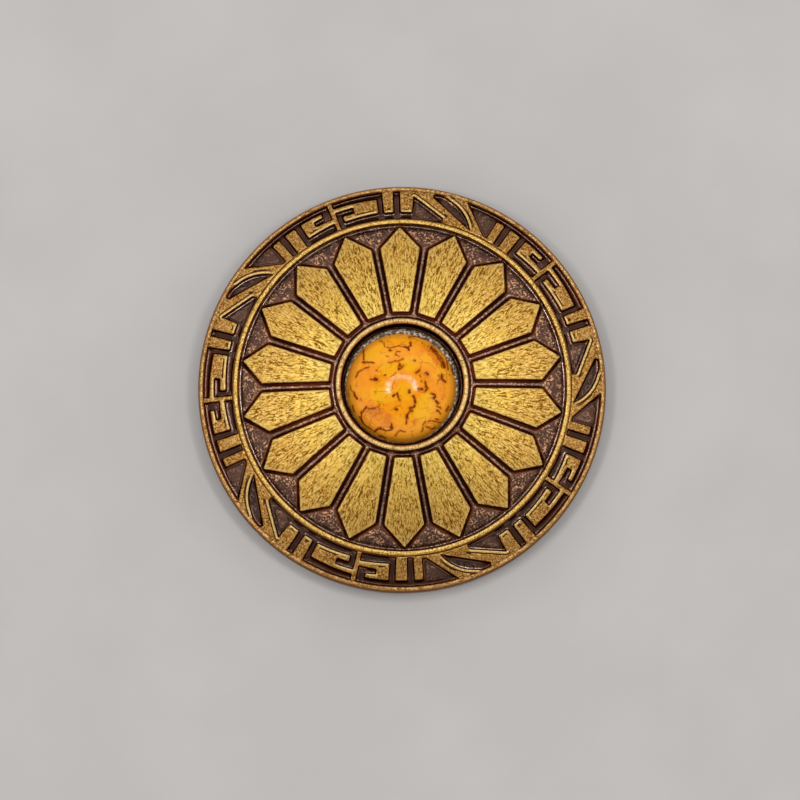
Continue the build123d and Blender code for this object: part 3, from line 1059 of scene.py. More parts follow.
@dataclass
class PetalField:
    """One of the eighteen petals with the U-shaped channel round it."""

    petals: int = 18
    turn: float = -0.84
    inner_r: float = 6.77
    shoulder_r: float = 12.85
    tip_r: float = 14.93
    channel_in: float = 0.80
    channel_out: float = 0.87
    channel_depth: float = 0.55
    channel_power: float = 2.2
    bezel_r: float = 6.14
    bead_r: float = 15.27
    lip_r: float = 15.31
    edge_h: float = -0.06
    channel_half: float = 0.40
    bezel_half: float = 0.32
    moat_half: float = 0.24
    moat_reach: float = 1.5
    floor_rise: float = 0.07
    floor_from: float = 11.0
    floor_by_ring: Point = (0.26, 0.5)
    floor_by_petal: Point = (0.40, 0.62)
    crown: float = 0.03
    corner_cut: float = 0.07
    step: float = 0.42
    ring_clearance: float = 0.02
    line_clearance: float = 0.01
    seam_clearance: Point = (0.02, 0.1)
    fill_step: float = 0.4
    fill_gaps: Point = (-0.25, 0.5)
    fill_end: float = 14.7
    ledge: float = 0.35
    # painted highlight: grey lines down the channels between petals, beside the bead and round the bezel
    middle_shine: float = 0.62
    shine_half: float = 0.07
    shine_start: Point = (6.5, 6.7)
    shine_end: Point = (12.9, 13.4)
    ring_shine: tuple[Point, ...] = ((15.03, 2.2), (6.44, 0.40))
    inner_radii: tuple[float, ...] = (6.14, 6.16, 6.19, 6.23, 6.28, 6.34, 6.41, 6.5, 6.6)
    middle_radii: tuple[float, float, int] = (6.8, 14.55, 36)
    outer_radii: tuple[float, ...] = (
        14.72, 14.84, 14.92, 14.98, 15.03, 15.08, 15.13, 15.17, 15.20, 15.23, 15.25, 15.27)
    offsets: tuple[float, ...] = (
        -0.5, -0.14, -0.08, -0.03, 0.0, 0.02, 0.05, 0.09, 0.14, 0.20, 0.27, 0.34, 0.40, 0.5, 0.62)

    @property
    def pitch(self) -> float:
        """Angle from one petal to the next."""
        return 360.0 / self.petals

    def outline(self) -> Array:
        """The petal's outline, anticlockwise."""
        half = math.radians(self.pitch / 2)
        side = lambda x, gap: x * math.tan(half) - gap / 2 / math.cos(half)
        foot, shoulder = side(self.inner_r, self.channel_in), side(self.shoulder_r, self.channel_out)
        corners = [(-foot, self.inner_r), (foot, self.inner_r), (shoulder, self.shoulder_r),
                   (0.0, self.tip_r), (-shoulder, self.shoulder_r)]
        turn = math.radians(-self.turn)
        spin = np.array([[math.cos(turn), math.sin(turn)], [-math.sin(turn), math.cos(turn)]])
        placed = [np.array(c) @ spin for c in corners]
        sides = [np.array([a, b]) for a, b in zip(placed, placed[1:] + placed[:1])]
        return rounded_outline(sides, self.corner_cut, self.step)

    def ring_gap(self, r: Array | float) -> Array:
        """Distance of a radius from the nearer of the bead and the bezel."""
        return np.minimum(self.bead_r - r, r - self.bezel_r)

    def channel(self, distance: Array, half: float) -> Array:
        """Height of a channel's side at a distance from its land."""
        t = np.clip(distance / half, 0.0, 1.0)
        return self.edge_h - (self.channel_depth + self.edge_h) * (1.0 - (1.0 - t) ** self.channel_power)

    def height(self, r: Array, petal: Array) -> Array:
        """Height above the dome at radius r and a distance outside the petal's outline."""
        gap = self.ring_gap(r)
        by_ring = np.where(self.bead_r - r < self.moat_reach, self.channel(gap, self.moat_half),
                           self.channel(gap, self.bezel_half))
        low = np.maximum(self.channel(np.maximum(petal, 0.0), self.channel_half), by_ring)
        open_ground = smoothstep(*self.floor_by_ring, self.bead_r - r)
        open_ground = open_ground * smoothstep(*self.floor_by_petal, petal) * (r > self.floor_from)
        top = np.interp(-petal, [0.0, 0.03, 0.08, 0.9], [self.edge_h, -0.018, 0.0, self.crown])
        return np.where(petal < 0.0, top, low + self.floor_rise * open_ground)

    def build(self, dome: Dome) -> bpy.types.Object:
        """Meshes the sector round the first petal."""
        near = Outlines([self.outline()])
        middle_radii = np.round(np.linspace(*self.middle_radii), 3)
        radii = np.array([*self.inner_radii, *middle_radii, *self.outer_radii])
        mesher = SectorMesher(near, radii, lambda r: self.turn + self.pitch / 2, self.pitch)
        rings = self.inner_radii + self.outer_radii
        mesher.add_rings(rings, lambda r: self.ring_gap(r) + self.ring_clearance)
        for d in self.offsets:
            line, r, _, keep = mesher.offset(near.loops[0], d)
            keep &= self.ring_gap(r) > max(d, 0.0) + self.line_clearance
            mesher.add_line(line, keep & (self._across(line) > self.seam_clearance[0]))
        grid, r, distance = mesher.grid(self.fill_step)
        keep = (distance < self.fill_gaps[0]) | ((distance > self.fill_gaps[1]) & (r < self.fill_end))
        mesher.points.append(grid[keep & (self._across(grid) > self.seam_clearance[1])])
        plan, faces = mesher.triangulate()
        petal, _ = near.measure(plan)
        r = np.linalg.norm(plan, axis=1)
        # painted highlight: shine marks where the finish paints grey highlight lines
        middle = self.middle_shine * (1.0 - smoothstep(0.0, self.shine_half, self._across(plan)))
        shine = middle * smoothstep(*self.shine_start, r) * (1.0 - smoothstep(*self.shine_end, r))
        for ring, strength in self.ring_shine:
            shine = np.maximum(shine, strength * np.clip(1.4 - np.abs(r - ring) / 0.06, 0.0, 1.0))
        values = {"edge_distance": np.maximum(-petal, np.maximum(r - self.lip_r, self.bezel_r - r)),
                  "ledge": np.full(len(r), self.ledge), "shine": shine * (petal > 0.0),
                  "patina": np.zeros(len(r))}
        points = np.column_stack([plan, dome.z(r, self.height(r, petal))])
        return mesh_from("petal_sector", points, faces, values)

    def _across(self, points: Array) -> Array:
        """Distance of points from the nearer of the sector's two cuts."""
        angle = np.degrees(np.arctan2(points[:, 0], points[:, 1])) - self.turn
        return np.linalg.norm(points, axis=1) * np.sin(np.radians(self.pitch / 2 - np.abs(angle)))


@dataclass
class Casting:
    """The whole brass casting as one closed skin."""

    dome: Dome = field(default_factory=Dome)
    edge: EdgeShape = field(default_factory=EdgeShape)
    rings: RingShape = field(default_factory=RingShape)
    border: FretBorder = field(default_factory=FretBorder)
    petals: PetalField = field(default_factory=PetalField)
    disc_r: float = 19.0
    foot_in_r: float = 17.7
    shell_t: float = 1.4
    cup_r: float = 5.62
    cup_floor_z: float = 4.137
    bezel_top: float = 5.943
    boss_r: float = 7.02
    boss_z: float = 2.437
    socket_r: float = 2.55
    socket_top: float = 3.437
    side_z: tuple[float, ...] = (1.65, 1.4, 1.15, 0.9, 0.5)
    patina_z: Point = (0.95, 2.2)
    bezel_roll: tuple[tuple[float, float, float], ...] = (
        (6.09, 0.055, 0.05), (6.04, 0.022, 0.08), (5.98, 0.005, 0.1), (5.92, 0.0, 0.1), (5.86, 0.006, 0.1),
        (5.80, 0.026, 0.08), (5.75, 0.06, 0.05), (5.71, 0.11, 0.02), (5.68, 0.19, -0.01),
        (5.66, 0.28, -0.1), (5.64, 0.45, -0.3))
    columns: int = 360

    def bezel_and_cup(self) -> list[tuple[float, float, float]]:
        """Radius, height and edge distance from the foot of the bezel into the cup."""
        foot, floor = float(self.dome.z(self.petals.bezel_r, self.petals.edge_h)), self.cup_floor_z
        rows = [(self.petals.bezel_r, foot, 0.0), (6.125, foot + 0.05, 0.02)]
        rows += [(r, self.bezel_top - drop, distance) for r, drop, distance in self.bezel_roll]
        cup = [(self.cup_r, self.bezel_top - 0.7), (self.cup_r, 4.24), (5.59, 4.17), (5.52, floor),
               (4.0, floor), (2.0, floor), (0.0, floor)]
        return rows + [(r, z, -0.3) for r, z in cup]

    def rim_and_back(self) -> list[tuple[float, float, float]]:
        """Radius, height and edge distance from the rim's outer roll round the back."""
        hollow = lambda r: float(self.dome.z(r, -self.dome.relief - self.shell_t))
        side = [(r, float(self.dome.z(r, h))) for r, h in self.rings.rim if r >= self.rings.seam_r]
        side += [(self.disc_r, z) for z in self.side_z] + [(18.985, 0.25)]
        back = [(18.93, 0.12), (18.85, 0.03), (18.75, 0.0), (18.3, 0.0), (17.85, 0.0), (17.75, 0.03),
                (self.foot_in_r, 0.1), (self.foot_in_r, 0.5), (17.65, 0.64), (17.5, hollow(17.5))]
        back += [(float(r), hollow(r)) for r in np.linspace(16.8, 7.6, 15)]
        back += [(r, hollow(r) - drop) for r, drop in ((7.3, 0.03), (7.12, 0.12), (self.boss_r, 0.3))]
        back += [(self.boss_r, 2.55), (6.98, 2.47), (6.9, self.boss_z), (5.0, self.boss_z),
                 (2.7, self.boss_z), (2.6, 2.46), (self.socket_r, 2.53), (self.socket_r, 3.3),
                 (2.5, self.socket_top), (0.0, self.socket_top)]
        return [(r, z, 0.2) for r, z in side] + [(r, z, -0.5) for r, z in back]

    def skin(self) -> bpy.types.Object:
        """Turned surfaces inside the bezel and outside the rim's crest."""
        degrees = columns_round(self.columns) + SEAM_ANGLE
        points, faces, edge, patina, start = [], [], [], [], 0
        for rows, shade in ((self.bezel_and_cup(), 0.0), (self.rim_and_back(), 1.0)):
            part, part_faces = lathe([(r, z) for r, z, _ in rows], degrees)
            faces += [[i + start for i in face] for face in part_faces]
            points.append(part)
            start += len(part)
            counts = [self.columns if r else 1 for r, _, _ in rows]
            edge.append(np.repeat([d for _, _, d in rows], counts))
            covered = [
                shade * (1.0 if d < 0.0 else 1.0 - smoothstep(*self.patina_z, z)) for _, z, d in rows]
            patina.append(np.repeat(covered, counts))
        values = {"edge_distance": np.concatenate(edge), "patina": np.concatenate(patina),
                  "ledge": np.zeros(start), "shine": np.zeros(start)}
        return mesh_from("concho_casting", np.concatenate(points), faces, values)

    def assembly_tree(self) -> bpy.types.NodeTree:
        """Geometry Nodes that repeat both sectors, join them to the turned skin and weld the seams."""
        geometry = {"Geometry": "NodeSocketGeometry"}
        takes = {"Geometry": ("NodeSocketGeometry", None), "Count": ("NodeSocketInt", 5)}
        graph, start, end = new_group("GeometryNodeTree", "Ring of sectors", takes, geometry)
        points = graph.add("GeometryNodePoints", None, Count=start.outputs["Count"])
        angle = graph.math("DIVIDE", math.tau, start.outputs["Count"])
        turn = graph.times(graph.add("GeometryNodeInputIndex").outputs[0], angle)
        copies = graph.add("GeometryNodeInstanceOnPoints", None, Points=points,
                           Instance=start.outputs["Geometry"],
                           Rotation=graph.add("ShaderNodeCombineXYZ", None, Z=turn))
        graph.feed(end, Geometry=graph.add("GeometryNodeRealizeInstances", None, Geometry=copies))
        ring = graph.tree
        takes = {"Geometry": ("NodeSocketGeometry", None), "Fret sector": ("NodeSocketObject", None),
                 "Fret repeats": ("NodeSocketInt", 5), "Petal sector": ("NodeSocketObject", None),
                 "Petals": ("NodeSocketInt", 18), "Weld distance": ("NodeSocketFloat", WELD),
                 "Finish": ("NodeSocketMaterial", None)}
        graph, start, end = new_group("GeometryNodeTree", "Casting assembly", takes, geometry)
        join = graph.add("GeometryNodeJoinGeometry", None, Geometry=start.outputs["Geometry"])
        for source, count in (("Fret sector", "Fret repeats"), ("Petal sector", "Petals")):
            info = graph.add("GeometryNodeObjectInfo", None, Object=start.outputs[source])
            copies = graph.add("GeometryNodeGroup", {"node_tree": ring}, Geometry=info.outputs["Geometry"],
                               Count=start.outputs[count])
            graph.feed(join, Geometry=copies)
        weld = graph.add("GeometryNodeMergeByDistance", None, Geometry=join,
                         Distance=start.outputs["Weld distance"])
        smooth = graph.add("GeometryNodeSetShadeSmooth", None, Geometry=weld)
        real = graph.add("GeometryNodeRealizeInstances", None, Geometry=smooth)
        graph.feed(end, Geometry=graph.add(
            "GeometryNodeSetMaterial", None, Geometry=real, Material=start.outputs["Finish"]))
        return graph.tree

    def build(self, finish: bpy.types.Material) -> bpy.types.Object:
        """Makes the casting.

        Args:
            finish: the brass material.

        Returns:
            The finished object.
        """
        fret = self.border.build(self.dome, self.edge, self.rings)
        petal = self.petals.build(self.dome)
        for part in (fret, petal):
            LOG.info("%s: %d faces", part.name, len(part.data.polygons))
        body = self.skin()
        bake_nodes(body, self.assembly_tree(), {
            "Fret sector": fret, "Fret repeats": self.border.repeats, "Petal sector": petal,
            "Petals": self.petals.petals, "Weld distance": WELD, "Finish": finish})
        for part in (fret, petal):
            bpy.data.objects.remove(part)
        tidy_closed(body)
        return body


# The stone and its bed


@dataclass
class Cabochon:
    """The domed stone, with its chips and veins charted on the crown."""

    radius: float = 5.15
    height: float = 3.9
    girdle: float = 0.5
    base_z: float = 4.187
    centre: Point = (-0.09, -0.18)
    crown_r: float = 5.085
    columns: int = 300
    rings: int = 78
    plain_tone: float = 0.46
    chip_bend: float = 0.06
    vein_bend: float = 0.035
    # tone shifts by distance from the centre: the lift from 4.1 to 5.2 mm and the bright arc from 4.66 to
    # 4.82 mm are painted light at the crown's edge; 4.50 to 4.62 mm is a darker line
    edge_light_bands: tuple[tuple[float, float, float], ...] = (
        (4.1, 5.2, 0.4), (4.50, 4.62, -0.6), (4.66, 4.82, 0.8))
    chips: tuple[tuple[float, float, float, float, float, float], ...] = (
        (-1.9, -1.2, 1.3, 0.75, -15, 1.1), (2.0, -2.3, 0.95, 1.45, -35, 1.3),
        (-2.2, 2.7, 1.5, 1.0, 20, 0.95), (-1.3, 1.2, 0.9, 0.7, 10, 1.0), (0.8, 1.8, 0.9, 0.8, 0, 1.0),
        (2.4, 2.0, 0.9, 0.8, -30, 0.8), (-2.3, -3.2, 1.45, 1.0, -25, 0.05), (1.4, 4.1, 1.3, 0.5, -20, 0.1),
        (4.2, -1.0, 0.8, 1.5, 10, 0.35), (-4.3, 1.9, 0.6, 1.5, -15, 0.3), (-4.4, -1.9, 0.6, 1.4, 25, 0.3),
        (0.3, -3.7, 1.4, 0.9, 10, 0.65), (-3.6, -0.9, 0.8, 0.6, -30, 0.6), (3.3, 1.2, 0.8, 0.8, 0, 0.75),
        (3.2, 2.75, 0.75, 1.8, 42, -0.1), (-0.2, 4.4, 1.3, 0.5, 5, 0.45), (0.2, -0.9, 0.9, 0.8, 0, 0.8),
        (3.3, -3.1, 1.2, 0.6, 40, 0.35))
    veins: tuple[tuple[float, float, tuple[Point, ...]], ...] = (
        (0.07, 0.85, ((-3.55, 3.2), (-3.55, 2.6), (-3.6, 2.3))), (0.10, 0.9, ((-3.6, 2.05), (-3.35, 1.9))),
        (0.07, 0.8, ((-3.35, 1.9), (-3.0, 1.93), (-2.6, 1.88))), (0.06, 0.6, ((-3.5, 1.4), (-3.05, 1.45))),
        (0.05, 0.6, ((-2.05, 4.15), (-1.7, 3.75), (-1.6, 3.4))), (0.12, 0.65, ((-1.2, 3.1), (-1.1, 3.0))),
        (0.06, 0.5, ((-1.4, 3.35), (-0.9, 3.3), (-0.3, 3.45), (0.15, 3.4))),
        (0.10, 0.85, ((0.25, 3.38), (0.5, 3.3), (0.57, 3.05))),
        (0.09, 0.8, ((0.5, 3.3), (0.75, 3.5), (0.8, 3.85))),
        (0.06, 0.4, ((0.05, 2.2), (-0.3, 1.95), (-1.3, 1.85))), (0.10, 0.75, ((-0.2, 1.65), (-0.38, 1.15))),
        (0.20, 0.3, ((0.05, 1.5), (-0.2, 1.3))), (0.09, 0.45, ((1.1, 2.05), (1.2, 2.0))),
        (0.16, 0.85, ((2.15, 0.82), (2.25, 0.78))), (0.12, 0.5, ((1.3, 0.85), (1.55, 1.15))),
        (0.09, 0.4, ((1.78, 0.1), (1.82, 0.08))),
        (0.10, 0.8, ((2.15, 0.0), (2.15, -0.4), (2.3, -0.65), (2.1, -0.8))),
        (0.14, 0.4, ((1.5, -0.6), (1.8, -0.62))), (0.09, 0.95, ((2.68, -1.0), (2.95, -1.05), (2.98, -1.3))),
        (0.15, 0.95, ((2.85, -1.38), (2.88, -1.42))), (0.12, 0.85, ((3.1, -1.65), (3.3, -1.8))),
        (0.07, 0.7, ((3.25, -2.05), (3.6, -2.3))), (0.08, 0.6, ((3.15, -2.45), (3.5, -2.75))),
        (0.13, 0.8, ((0.62, -0.8), (0.66, -1.0))), (0.12, 0.9, ((1.0, -1.35), (1.15, -1.7), (1.25, -1.9))),
        (0.08, 0.8, ((1.25, -1.9), (1.1, -2.25), (0.8, -2.45))), (0.15, 0.9, ((0.78, -2.42), (0.8, -2.62))),
        (0.08, 0.8, ((0.7, -2.7), (0.35, -3.0), (0.42, -3.25))), (0.12, 0.9, ((0.35, -3.0), (0.45, -3.3))),
        (0.09, 0.6, ((0.4, -3.5), (0.38, -3.7))),
        (0.08, 0.85, ((-0.85, -1.3), (-0.5, -1.1), (-0.4, -1.4), (-0.25, -1.7))),
        (0.13, 0.6, ((-0.62, -2.55), (-0.52, -2.52))), (0.10, 0.9, ((-3.3, -2.2), (-3.5, -2.4))),
        (0.12, 0.9, ((-3.6, -2.5), (-3.8, -2.62))), (0.05, 0.6, ((-3.3, -2.3), (-2.8, -2.4), (-2.3, -2.2))),
        (0.06, 0.6, ((-3.75, -2.8), (-3.7, -3.3), (-3.3, -3.9), (-2.9, -4.1))),
        (0.10, 0.85, ((-2.6, -4.3), (-2.3, -4.15), (-2.0, -4.1))),
        (0.06, 0.75, ((-2.0, -4.15), (-1.5, -4.35), (-1.15, -4.25), (-0.95, -4.05), (-1.0, -3.7))),
        (0.13, 0.9, ((-1.05, -4.05), (-0.95, -4.08))),
        (0.06, 0.6, ((-0.65, -4.75), (-0.4, -4.5), (-0.1, -4.35), (0.25, -4.4))),
        (0.06, 0.55, ((1.8, -4.35), (1.9, -3.9), (2.1, -3.55))),
        (0.06, 0.6, ((2.15, -3.95), (2.7, -4.05), (3.0, -3.95))), (0.06, 0.55, ((3.1, -3.2), (3.4, -3.25))),
        (0.05, 0.45, ((2.4, -3.5), (2.9, -3.4), (3.6, -3.5))),
        (0.11, 0.85, ((3.6, 0.8), (3.65, 0.4), (4.0, 0.2))),
        (0.10, 0.9, ((-4.45, -0.85), (-4.3, -1.1), (-4.2, -1.4))),
        (0.05, 0.45, ((-4.8, -0.1), (-4.75, -0.5), (-4.5, -0.8))),
        (0.10, 0.5, ((-4.25, 0.65), (-4.1, 1.0))), (0.06, 0.45, ((-4.1, 1.05), (-3.7, 1.35))),
        (0.17, 0.6, ((-2.5, 0.35), (-2.35, 0.3))), (0.09, 0.4, ((-2.95, 0.35), (-2.6, 0.2))),
        (0.08, 0.35, ((-1.65, 0.6), (-1.55, 0.62))), (0.06, 0.4, ((-2.45, 1.15), (-2.35, 1.1))),
        (0.26, 0.45, ((2.7, 3.4), (3.2, 2.8), (3.6, 2.2), (3.85, 1.6))),
        (0.12, 0.45, ((3.0, 3.0), (3.45, 2.45), (3.75, 2.0))), (0.05, 0.6, ((4.1, 2.2), (4.3, 1.4))),
        (0.05, 0.55, ((4.55, 1.7), (4.7, 1.0))), (0.09, 0.4, ((0.6, 4.4), (1.4, 4.55), (2.0, 4.3))),
        (0.07, 0.6, ((-2.1, -4.65), (-1.5, -4.95))), (0.07, 0.6, ((-3.9, -3.0), (-3.6, -3.55))),
        (0.06, 0.5, ((-4.6, -1.9), (-4.4, -2.5))), (0.07, 0.5, ((4.1, -2.4), (4.3, -2.0))),
        (0.05, 0.4, ((-0.1, 2.9), (-0.5, 2.85), (-0.65, 2.6), (-0.3, 2.4))),
        (0.05, 0.35, ((-1.45, 2.45), (-1.25, 2.4))), (0.05, 0.4, ((-0.6, 0.9), (-1.0, 0.5))),
        (0.05, 0.35, ((1.6, 0.75), (1.7, 0.5))))

    @property
    def sphere_r(self) -> float:
        """Radius of the crown's sphere."""
        rise = self.height - self.girdle
        return (self.radius**2 + rise**2) / (2 * rise)

    @property
    def sphere_z(self) -> float:
        """Height of the crown's centre."""
        return self.base_z + self.height - self.sphere_r

    def profile(self) -> list[Point]:
        """Radius and height from the base's middle over the girdle to the top."""
        base, girdle = self.base_z, self.base_z + self.girdle
        rows = [(0.0, base), (2.5, base), (5.0, base), (5.09, base + 0.02), (5.14, base + 0.08),
                (self.radius, base + 0.2), (self.radius, girdle - 0.12), (5.142, girdle - 0.03),
                (5.12, girdle + 0.06)]
        for tilt in np.linspace(math.asin(self.crown_r / self.sphere_r), 0.0, self.rings):
            r = self.sphere_r * math.sin(tilt)
            rows.append((r if r > 1e-6 else 0.0, self.sphere_z + self.sphere_r * math.cos(tilt)))
        return rows

    def chart(self, plan: Array) -> tuple[Array, Array, Array]:
        """Chip tone, with painted light near the edge, vein strength and the stain beside veins at plan
        points.

        Args:
            plan: points in mm.

        Returns:
            Tone, amber near 0 and yellow near 1, and vein and stain strength from 0 to 1.
        """
        x, y = plan.T
        wave = np.column_stack([np.sin(5.1 * y + 1.3 * np.sin(3.7 * x)) + 0.6 * np.sin(11.3 * y + 4.0 * x),
                                np.sin(4.7 * x + 1.1 * np.sin(4.3 * y)) + 0.6 * np.sin(12.1 * x - 3.0 * y)])
        tone = np.full(len(plan), self.plain_tone)
        for cx, cy, rx, ry, angle, value in self.chips:
            turn = math.radians(angle)
            dx, dy = (plan + self.chip_bend * wave - (cx, cy)).T
            u, v = dx * math.cos(turn) + dy * math.sin(turn), dy * math.cos(turn) - dx * math.sin(turn)
            share = 1.0 - smoothstep(0.8, 1.12, np.sqrt((u / rx) ** 2 + (v / ry) ** 2))
            tone = tone + (value - tone) * share
        reach = np.linalg.norm(plan - np.array(self.centre), axis=1)
        # painted light: bands near the edge raise the tone, one band lowers it
        for low, high, shift in self.edge_light_bands:
            within = 1.0 - smoothstep(high - 0.05, high + 0.05, reach)
            tone = tone + shift * smoothstep(low, low + 0.07, reach) * within
        vein, halo = np.zeros(len(plan)), np.zeros(len(plan))
        moved = plan + self.vein_bend * wave
        for half, strength, stroke in self.veins:
            line = np.array(stroke)
            depth = min(1.0, 0.45 + 0.7 * strength)
            for a, b in zip(line, line[1:]):
                along = b - a
                t = np.clip(((moved - a) @ along) / (along @ along), 0.0, 1.0)
                gap = np.linalg.norm(moved - a - t[:, None] * along, axis=1)
                vein = np.maximum(vein, depth * (1.0 - smoothstep(0.6 * half, 1.15 * half + 0.02, gap)))
                halo = np.maximum(halo, strength * (1.0 - smoothstep(0.8 * half, 0.14 + 2.0 * half, gap)))
        return tone, vein, halo

    def build(self, finish: bpy.types.Material) -> bpy.types.Object:
        """Makes the stone."""
        points, faces = lathe(self.profile(), columns_round(self.columns), self.centre)
        tone, vein, halo = self.chart(points[:, :2])
        values = {"chip_tone": tone, "vein": vein, "vein_halo": halo}
        return dressed_piece("stone_cabochon", points, faces, finish, values)


@dataclass
class StoneBed:
    """The rough grey bed that holds the stone, widest near the top of the disc."""

    stone: Cabochon
    floor_z: float = 4.145
    waist_z: float = 4.5
    shoulder_z: float = 4.6
    girdle_z: float = 4.68
    widest: float = 20.0
    width: Point = (0.06, 0.24)
    climb: Point = (4.62, 0.50)
    fall: float = 0.30
    gap: float = 0.004
    spread: float = 1.3
    lump: Point = (0.05, 0.04)
    grain: float = 0.035
    foot: float = 1.03
    seed: int = 7
    columns: int = 360

    def stone_r(self, z: Array) -> Array:
        """Radius of the stone's side at heights z, with a hair's gap."""
        crown = np.sqrt(self.stone.sphere_r**2 - (z - self.stone.sphere_z) ** 2)
        return np.where(z < self.girdle_z, self.stone.radius, crown) + self.gap

    def build(self, finish: bpy.types.Material) -> bpy.types.Object:
        """Makes the bed as a closed ring with a lumpy top."""
        phases = np.random.default_rng(self.seed).uniform(0, math.tau, 24)
        degrees = columns_round(self.columns)
        angle = np.radians(degrees)
        share = 0.5 + 0.5 * np.cos(angle - math.radians(self.widest))
        lumps = sum(np.sin(angle * (9 + 7 * k) + phases[k]) for k in range(12)) / 12
        width = self.width[0] + self.width[1] * share**self.spread + self.lump[0] * lumps
        climb = self.climb[0] + self.climb[1] * share + self.lump[1] * lumps
        floor, waist, shoulder = (
            np.full(self.columns, z) for z in (self.floor_z, self.waist_z, self.shoulder_z))
        rows = [(self.stone_r(z), z) for z in (floor, waist, climb)]
        for k, t in enumerate((0.2, 0.4, 0.6, 0.8, 1.0)):
            grain = self.grain * np.sin(angle * (61 + 17 * k) + phases[12 + k])
            grain = grain * np.sin(angle * 23 + phases[18 + k])
            rows.append((self.stone_r(shoulder) + width * t, climb - self.fall * t**2 + grain))
        rows.append((self.stone_r(shoulder) + width * self.foot, floor))
        middle, count = np.array(self.stone.centre), self.columns
        points = np.concatenate([np.column_stack([around(r, degrees) + middle, z]) for r, z in rows])
        faces = []
        for row in range(len(rows)):
            faces += ring_faces(row * count, (row + 1) % len(rows) * count, count)
        return dressed_piece("stone_bed", points, faces, finish)


@dataclass
class ScrewPost:
    """The fixing post with its tapped hole."""

    radius: float = 2.5
    low: float = 0.2
    high: float = 3.387
    bore_r: float = 1.65
    bore_l: float = 2.7
    pitch: float = 0.7
    depth: float = 0.3
    mouth: float = 0.2
    run_out: float = 0.35
    drill_point: float = 0.15
    top_bevel: float = 0.08
    end_bevel: float = 0.12
    land: float = 0.02
    blind: float = 0.25
    flank: float = 1.6
    crest: float = 1.25
    columns: int = 96
    thread_rows: int = 54

    def build(self, finish: bpy.types.Material) -> bpy.types.Object:
        """Makes the post: a turned outside and a threaded bore."""
        degrees, count, top = columns_round(self.columns), self.columns, self.low + self.bore_l
        outside = [(0.0, self.high), (self.radius - self.top_bevel, self.high),
                   (self.radius, self.high - self.top_bevel), (self.radius, self.low + self.end_bevel),
                   (self.radius - self.end_bevel, self.low), (self.bore_r + self.mouth + self.land, self.low)]
        points, faces = lathe(outside, degrees)
        start, rows = len(points) - count, []
        for z in np.linspace(self.low + self.land, top - self.blind, self.thread_rows):
            phase = ((z - self.low) / self.pitch + degrees / 360.0) % 1.0
            fade = min(1.0, max(0.0, (top - self.run_out - z) / self.run_out))
            groove = self.flank * (1.0 - np.abs(2.0 * phase - 1.0) * self.crest)
            groove = np.clip(groove, 0.0, 1.0) * self.depth * fade
            mouth = self.mouth * max(0.0, 1.0 - (z - self.low) / self.mouth)
            rows.append((self.bore_r + np.maximum(groove, mouth), z))
        rows.append((self.bore_r, top))
        rows = [np.column_stack([around(r, degrees), np.full(count, z)]) for r, z in rows]
        points = np.concatenate([points, *rows, [[0.0, 0.0, top + self.drill_point]]])
        for row in range(len(rows)):
            faces += ring_faces(start + row * count, start + (row + 1) * count, count)
        faces += ring_faces(start + len(rows) * count, len(points) - 1, count, b_pole=True)
        return dressed_piece("fixing_post", points, faces, finish)


# The studio


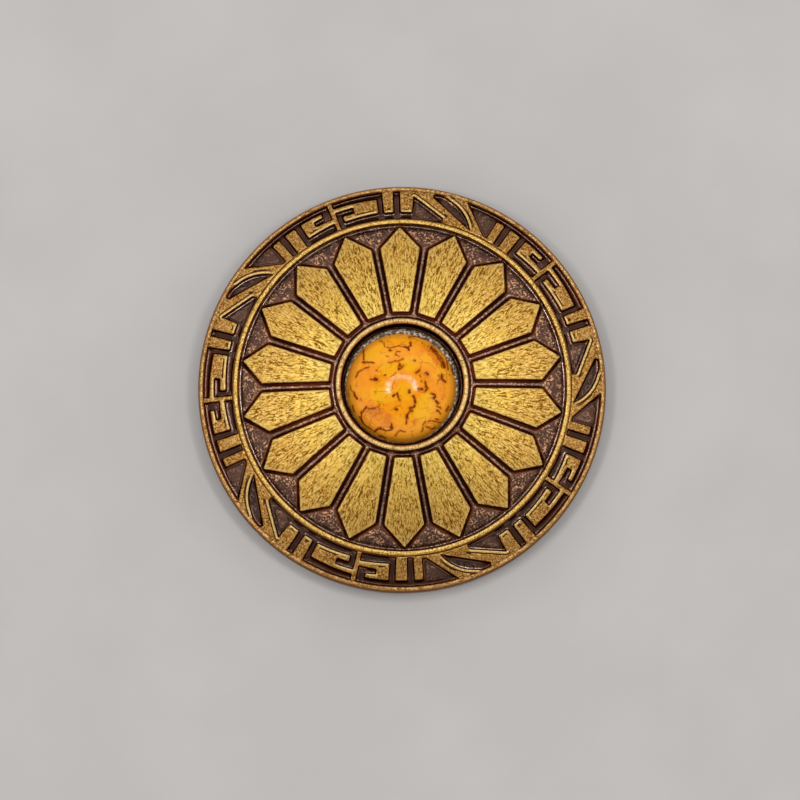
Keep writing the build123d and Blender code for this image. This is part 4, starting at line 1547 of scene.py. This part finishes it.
@dataclass
class Studio:
    """Pale floor, soft light and the photograph's camera."""

    tilt: float = 5.936
    turn: float = -2.452
    distance: float = 400.0
    target_z: float = 2.45
    pixels_per_mm: float = 10.745
    target_px: Point = (401.589, 387.578)
    frame_px: float = 800.0
    sensor: float = 36.0
    lamp_height: float = 0.40
    lamp_side: float = 0.062
    arch: tuple[tuple[float, float, float], ...] = (
        (-104, 0.185, 0.209), (-76, 0.180, 0.151), (-44, 0.165, 0.070), (-14, 0.148, 0.070),
        (14, 0.148, 0.070), (44, 0.165, 0.093), (70, 0.185, 0.139), (92, 0.200, 0.174))
    sky: tuple[Point, ...] = ((0.0, 1.1), (0.42, 1.1), (0.66, 0.23), (1.0, 0.23))
    floor_half: float = 1.5
    floor_tones: tuple[Colour, Colour] = ((0.53, 0.51, 0.50), (0.565, 0.545, 0.53))

    def camera(self) -> None:
        """Places the camera at the photograph's angle."""
        tilt, turn = math.radians(self.tilt), math.radians(self.turn)
        lean = Vector((math.sin(turn), -math.cos(turn), 0.0))
        side = Vector((-lean.y, lean.x, 0.0))
        back = lean * math.sin(tilt) + Vector((0, 0, math.cos(tilt)))
        down = lean * math.cos(tilt) - Vector((0, 0, math.sin(tilt)))
        right = down * lean.x - side * lean.y
        up = down * lean.y + side * lean.x
        data = bpy.data.cameras.new("camera")
        data.sensor_width = self.sensor
        data.lens = self.sensor * self.distance * self.pixels_per_mm / self.frame_px
        middle = (self.frame_px - 1) / 2
        data.shift_x = -(self.target_px[0] - middle) / self.frame_px
        data.shift_y = (self.target_px[1] - middle) / self.frame_px
        data.clip_start = 0.01
        eye = bpy.data.objects.new("camera", data)
        place = Vector((0, 0, self.target_z)) * MM + back * self.distance * MM
        eye.matrix_world = Matrix.Translation(place) @ Matrix((right, up, back)).transposed().to_4x4()
        bpy.context.scene.collection.objects.link(eye)
        bpy.context.scene.camera = eye

    def lamp(self, name: str, turn: float, reach: float, power: float) -> None:
        """A soft square lamp at an angle and a reach in metres, which faces the disc."""
        data = bpy.data.lights.new(name, "AREA")
        data.shape = "SQUARE"
        data.size = self.lamp_side
        data.energy = power
        where = Vector((*around(reach, turn), self.lamp_height))
        lamp = bpy.data.objects.new(name, data)
        lamp.matrix_world = Matrix.Translation(where) @ (-where).to_track_quat("-Z", "Y").to_matrix().to_4x4()
        bpy.context.scene.collection.objects.link(lamp)

    def floor(self) -> None:
        """A large pale floor that only just meets the foot."""
        half = self.floor_half
        corners = [(-half, -half, 0), (half, -half, 0), (half, half, 0), (-half, half, 0)]
        mesh = bpy.data.meshes.new("floor")
        mesh.from_pydata(corners, [], [(0, 1, 2, 3)])
        floor = bpy.data.objects.new("floor", mesh)
        bpy.context.scene.collection.objects.link(floor)
        material, graph, shader = material_graph("Pale floor")
        cloud = graph.step(graph.noise(graph.place(), 60.0, 3.0), 0.3, 0.7)
        graph.feed(shader, Base_Color=graph.mix(cloud, *self.floor_tones), Roughness=0.7)
        floor.data.materials.append(material)

    def build(self) -> None:
        """Sets up the whole studio."""
        self.camera()
        self.floor()
        for k, (turn, reach, power) in enumerate(self.arch):
            self.lamp(f"lamp_{k}", turn, reach, power)
        world = bpy.data.worlds.new("studio")
        world.use_nodes = True
        graph = Graph(world.node_tree)
        upward = graph.split(graph.add("ShaderNodeTexCoord").outputs["Generated"])[2]
        graph.feed(world.node_tree.nodes["Background"], Color=graph.ramp(upward, self.sky))
        bpy.context.scene.world = world
        bpy.context.scene.view_settings.view_transform = "Standard"


@dataclass
class Concho:
    """The whole part."""

    casting: Casting = field(default_factory=Casting)
    stone: Cabochon = field(default_factory=Cabochon)
    post: ScrewPost = field(default_factory=ScrewPost)

    def build(self) -> None:
        """Makes every piece and ties it to the frame."""
        effects = SharedEffects()
        body = self.casting.build(AntiqueBrass().build(effects))
        stone = self.stone.build(OrangeStone().build(effects))
        bed = StoneBed(self.stone).build(SettingBed().build(effects))
        post = self.post.build(PlainBrass().build(effects))
        self.settle(body, Slot.ANTIQUE_BRASS, "concho_body")
        self.settle(stone, Slot.ORANGE_STONE, "cabochon")
        self.settle(bed, Slot.ANTIQUE_BRASS)
        self.settle(post, Slot.PLAIN_BRASS, "screw_post")

    def settle(self, piece: bpy.types.Object, slot: Slot, *nodes: str) -> None:
        """Hides the CAD nodes that the piece stands for, ties it to the body and logs its triangles."""
        if nodes:
            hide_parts(*nodes)
        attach(piece, Body.ROOT.value)
        LOG.info("%s: %d triangles", piece.name, sum(len(p.vertices) - 2 for p in piece.data.polygons))


def main() -> None:
    """Builds the part and its studio."""
    logging.basicConfig(level=logging.INFO, format="%(name)s: %(message)s")
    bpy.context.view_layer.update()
    Concho().build()
    Studio().build()


if __name__ == "__main__":
    main()
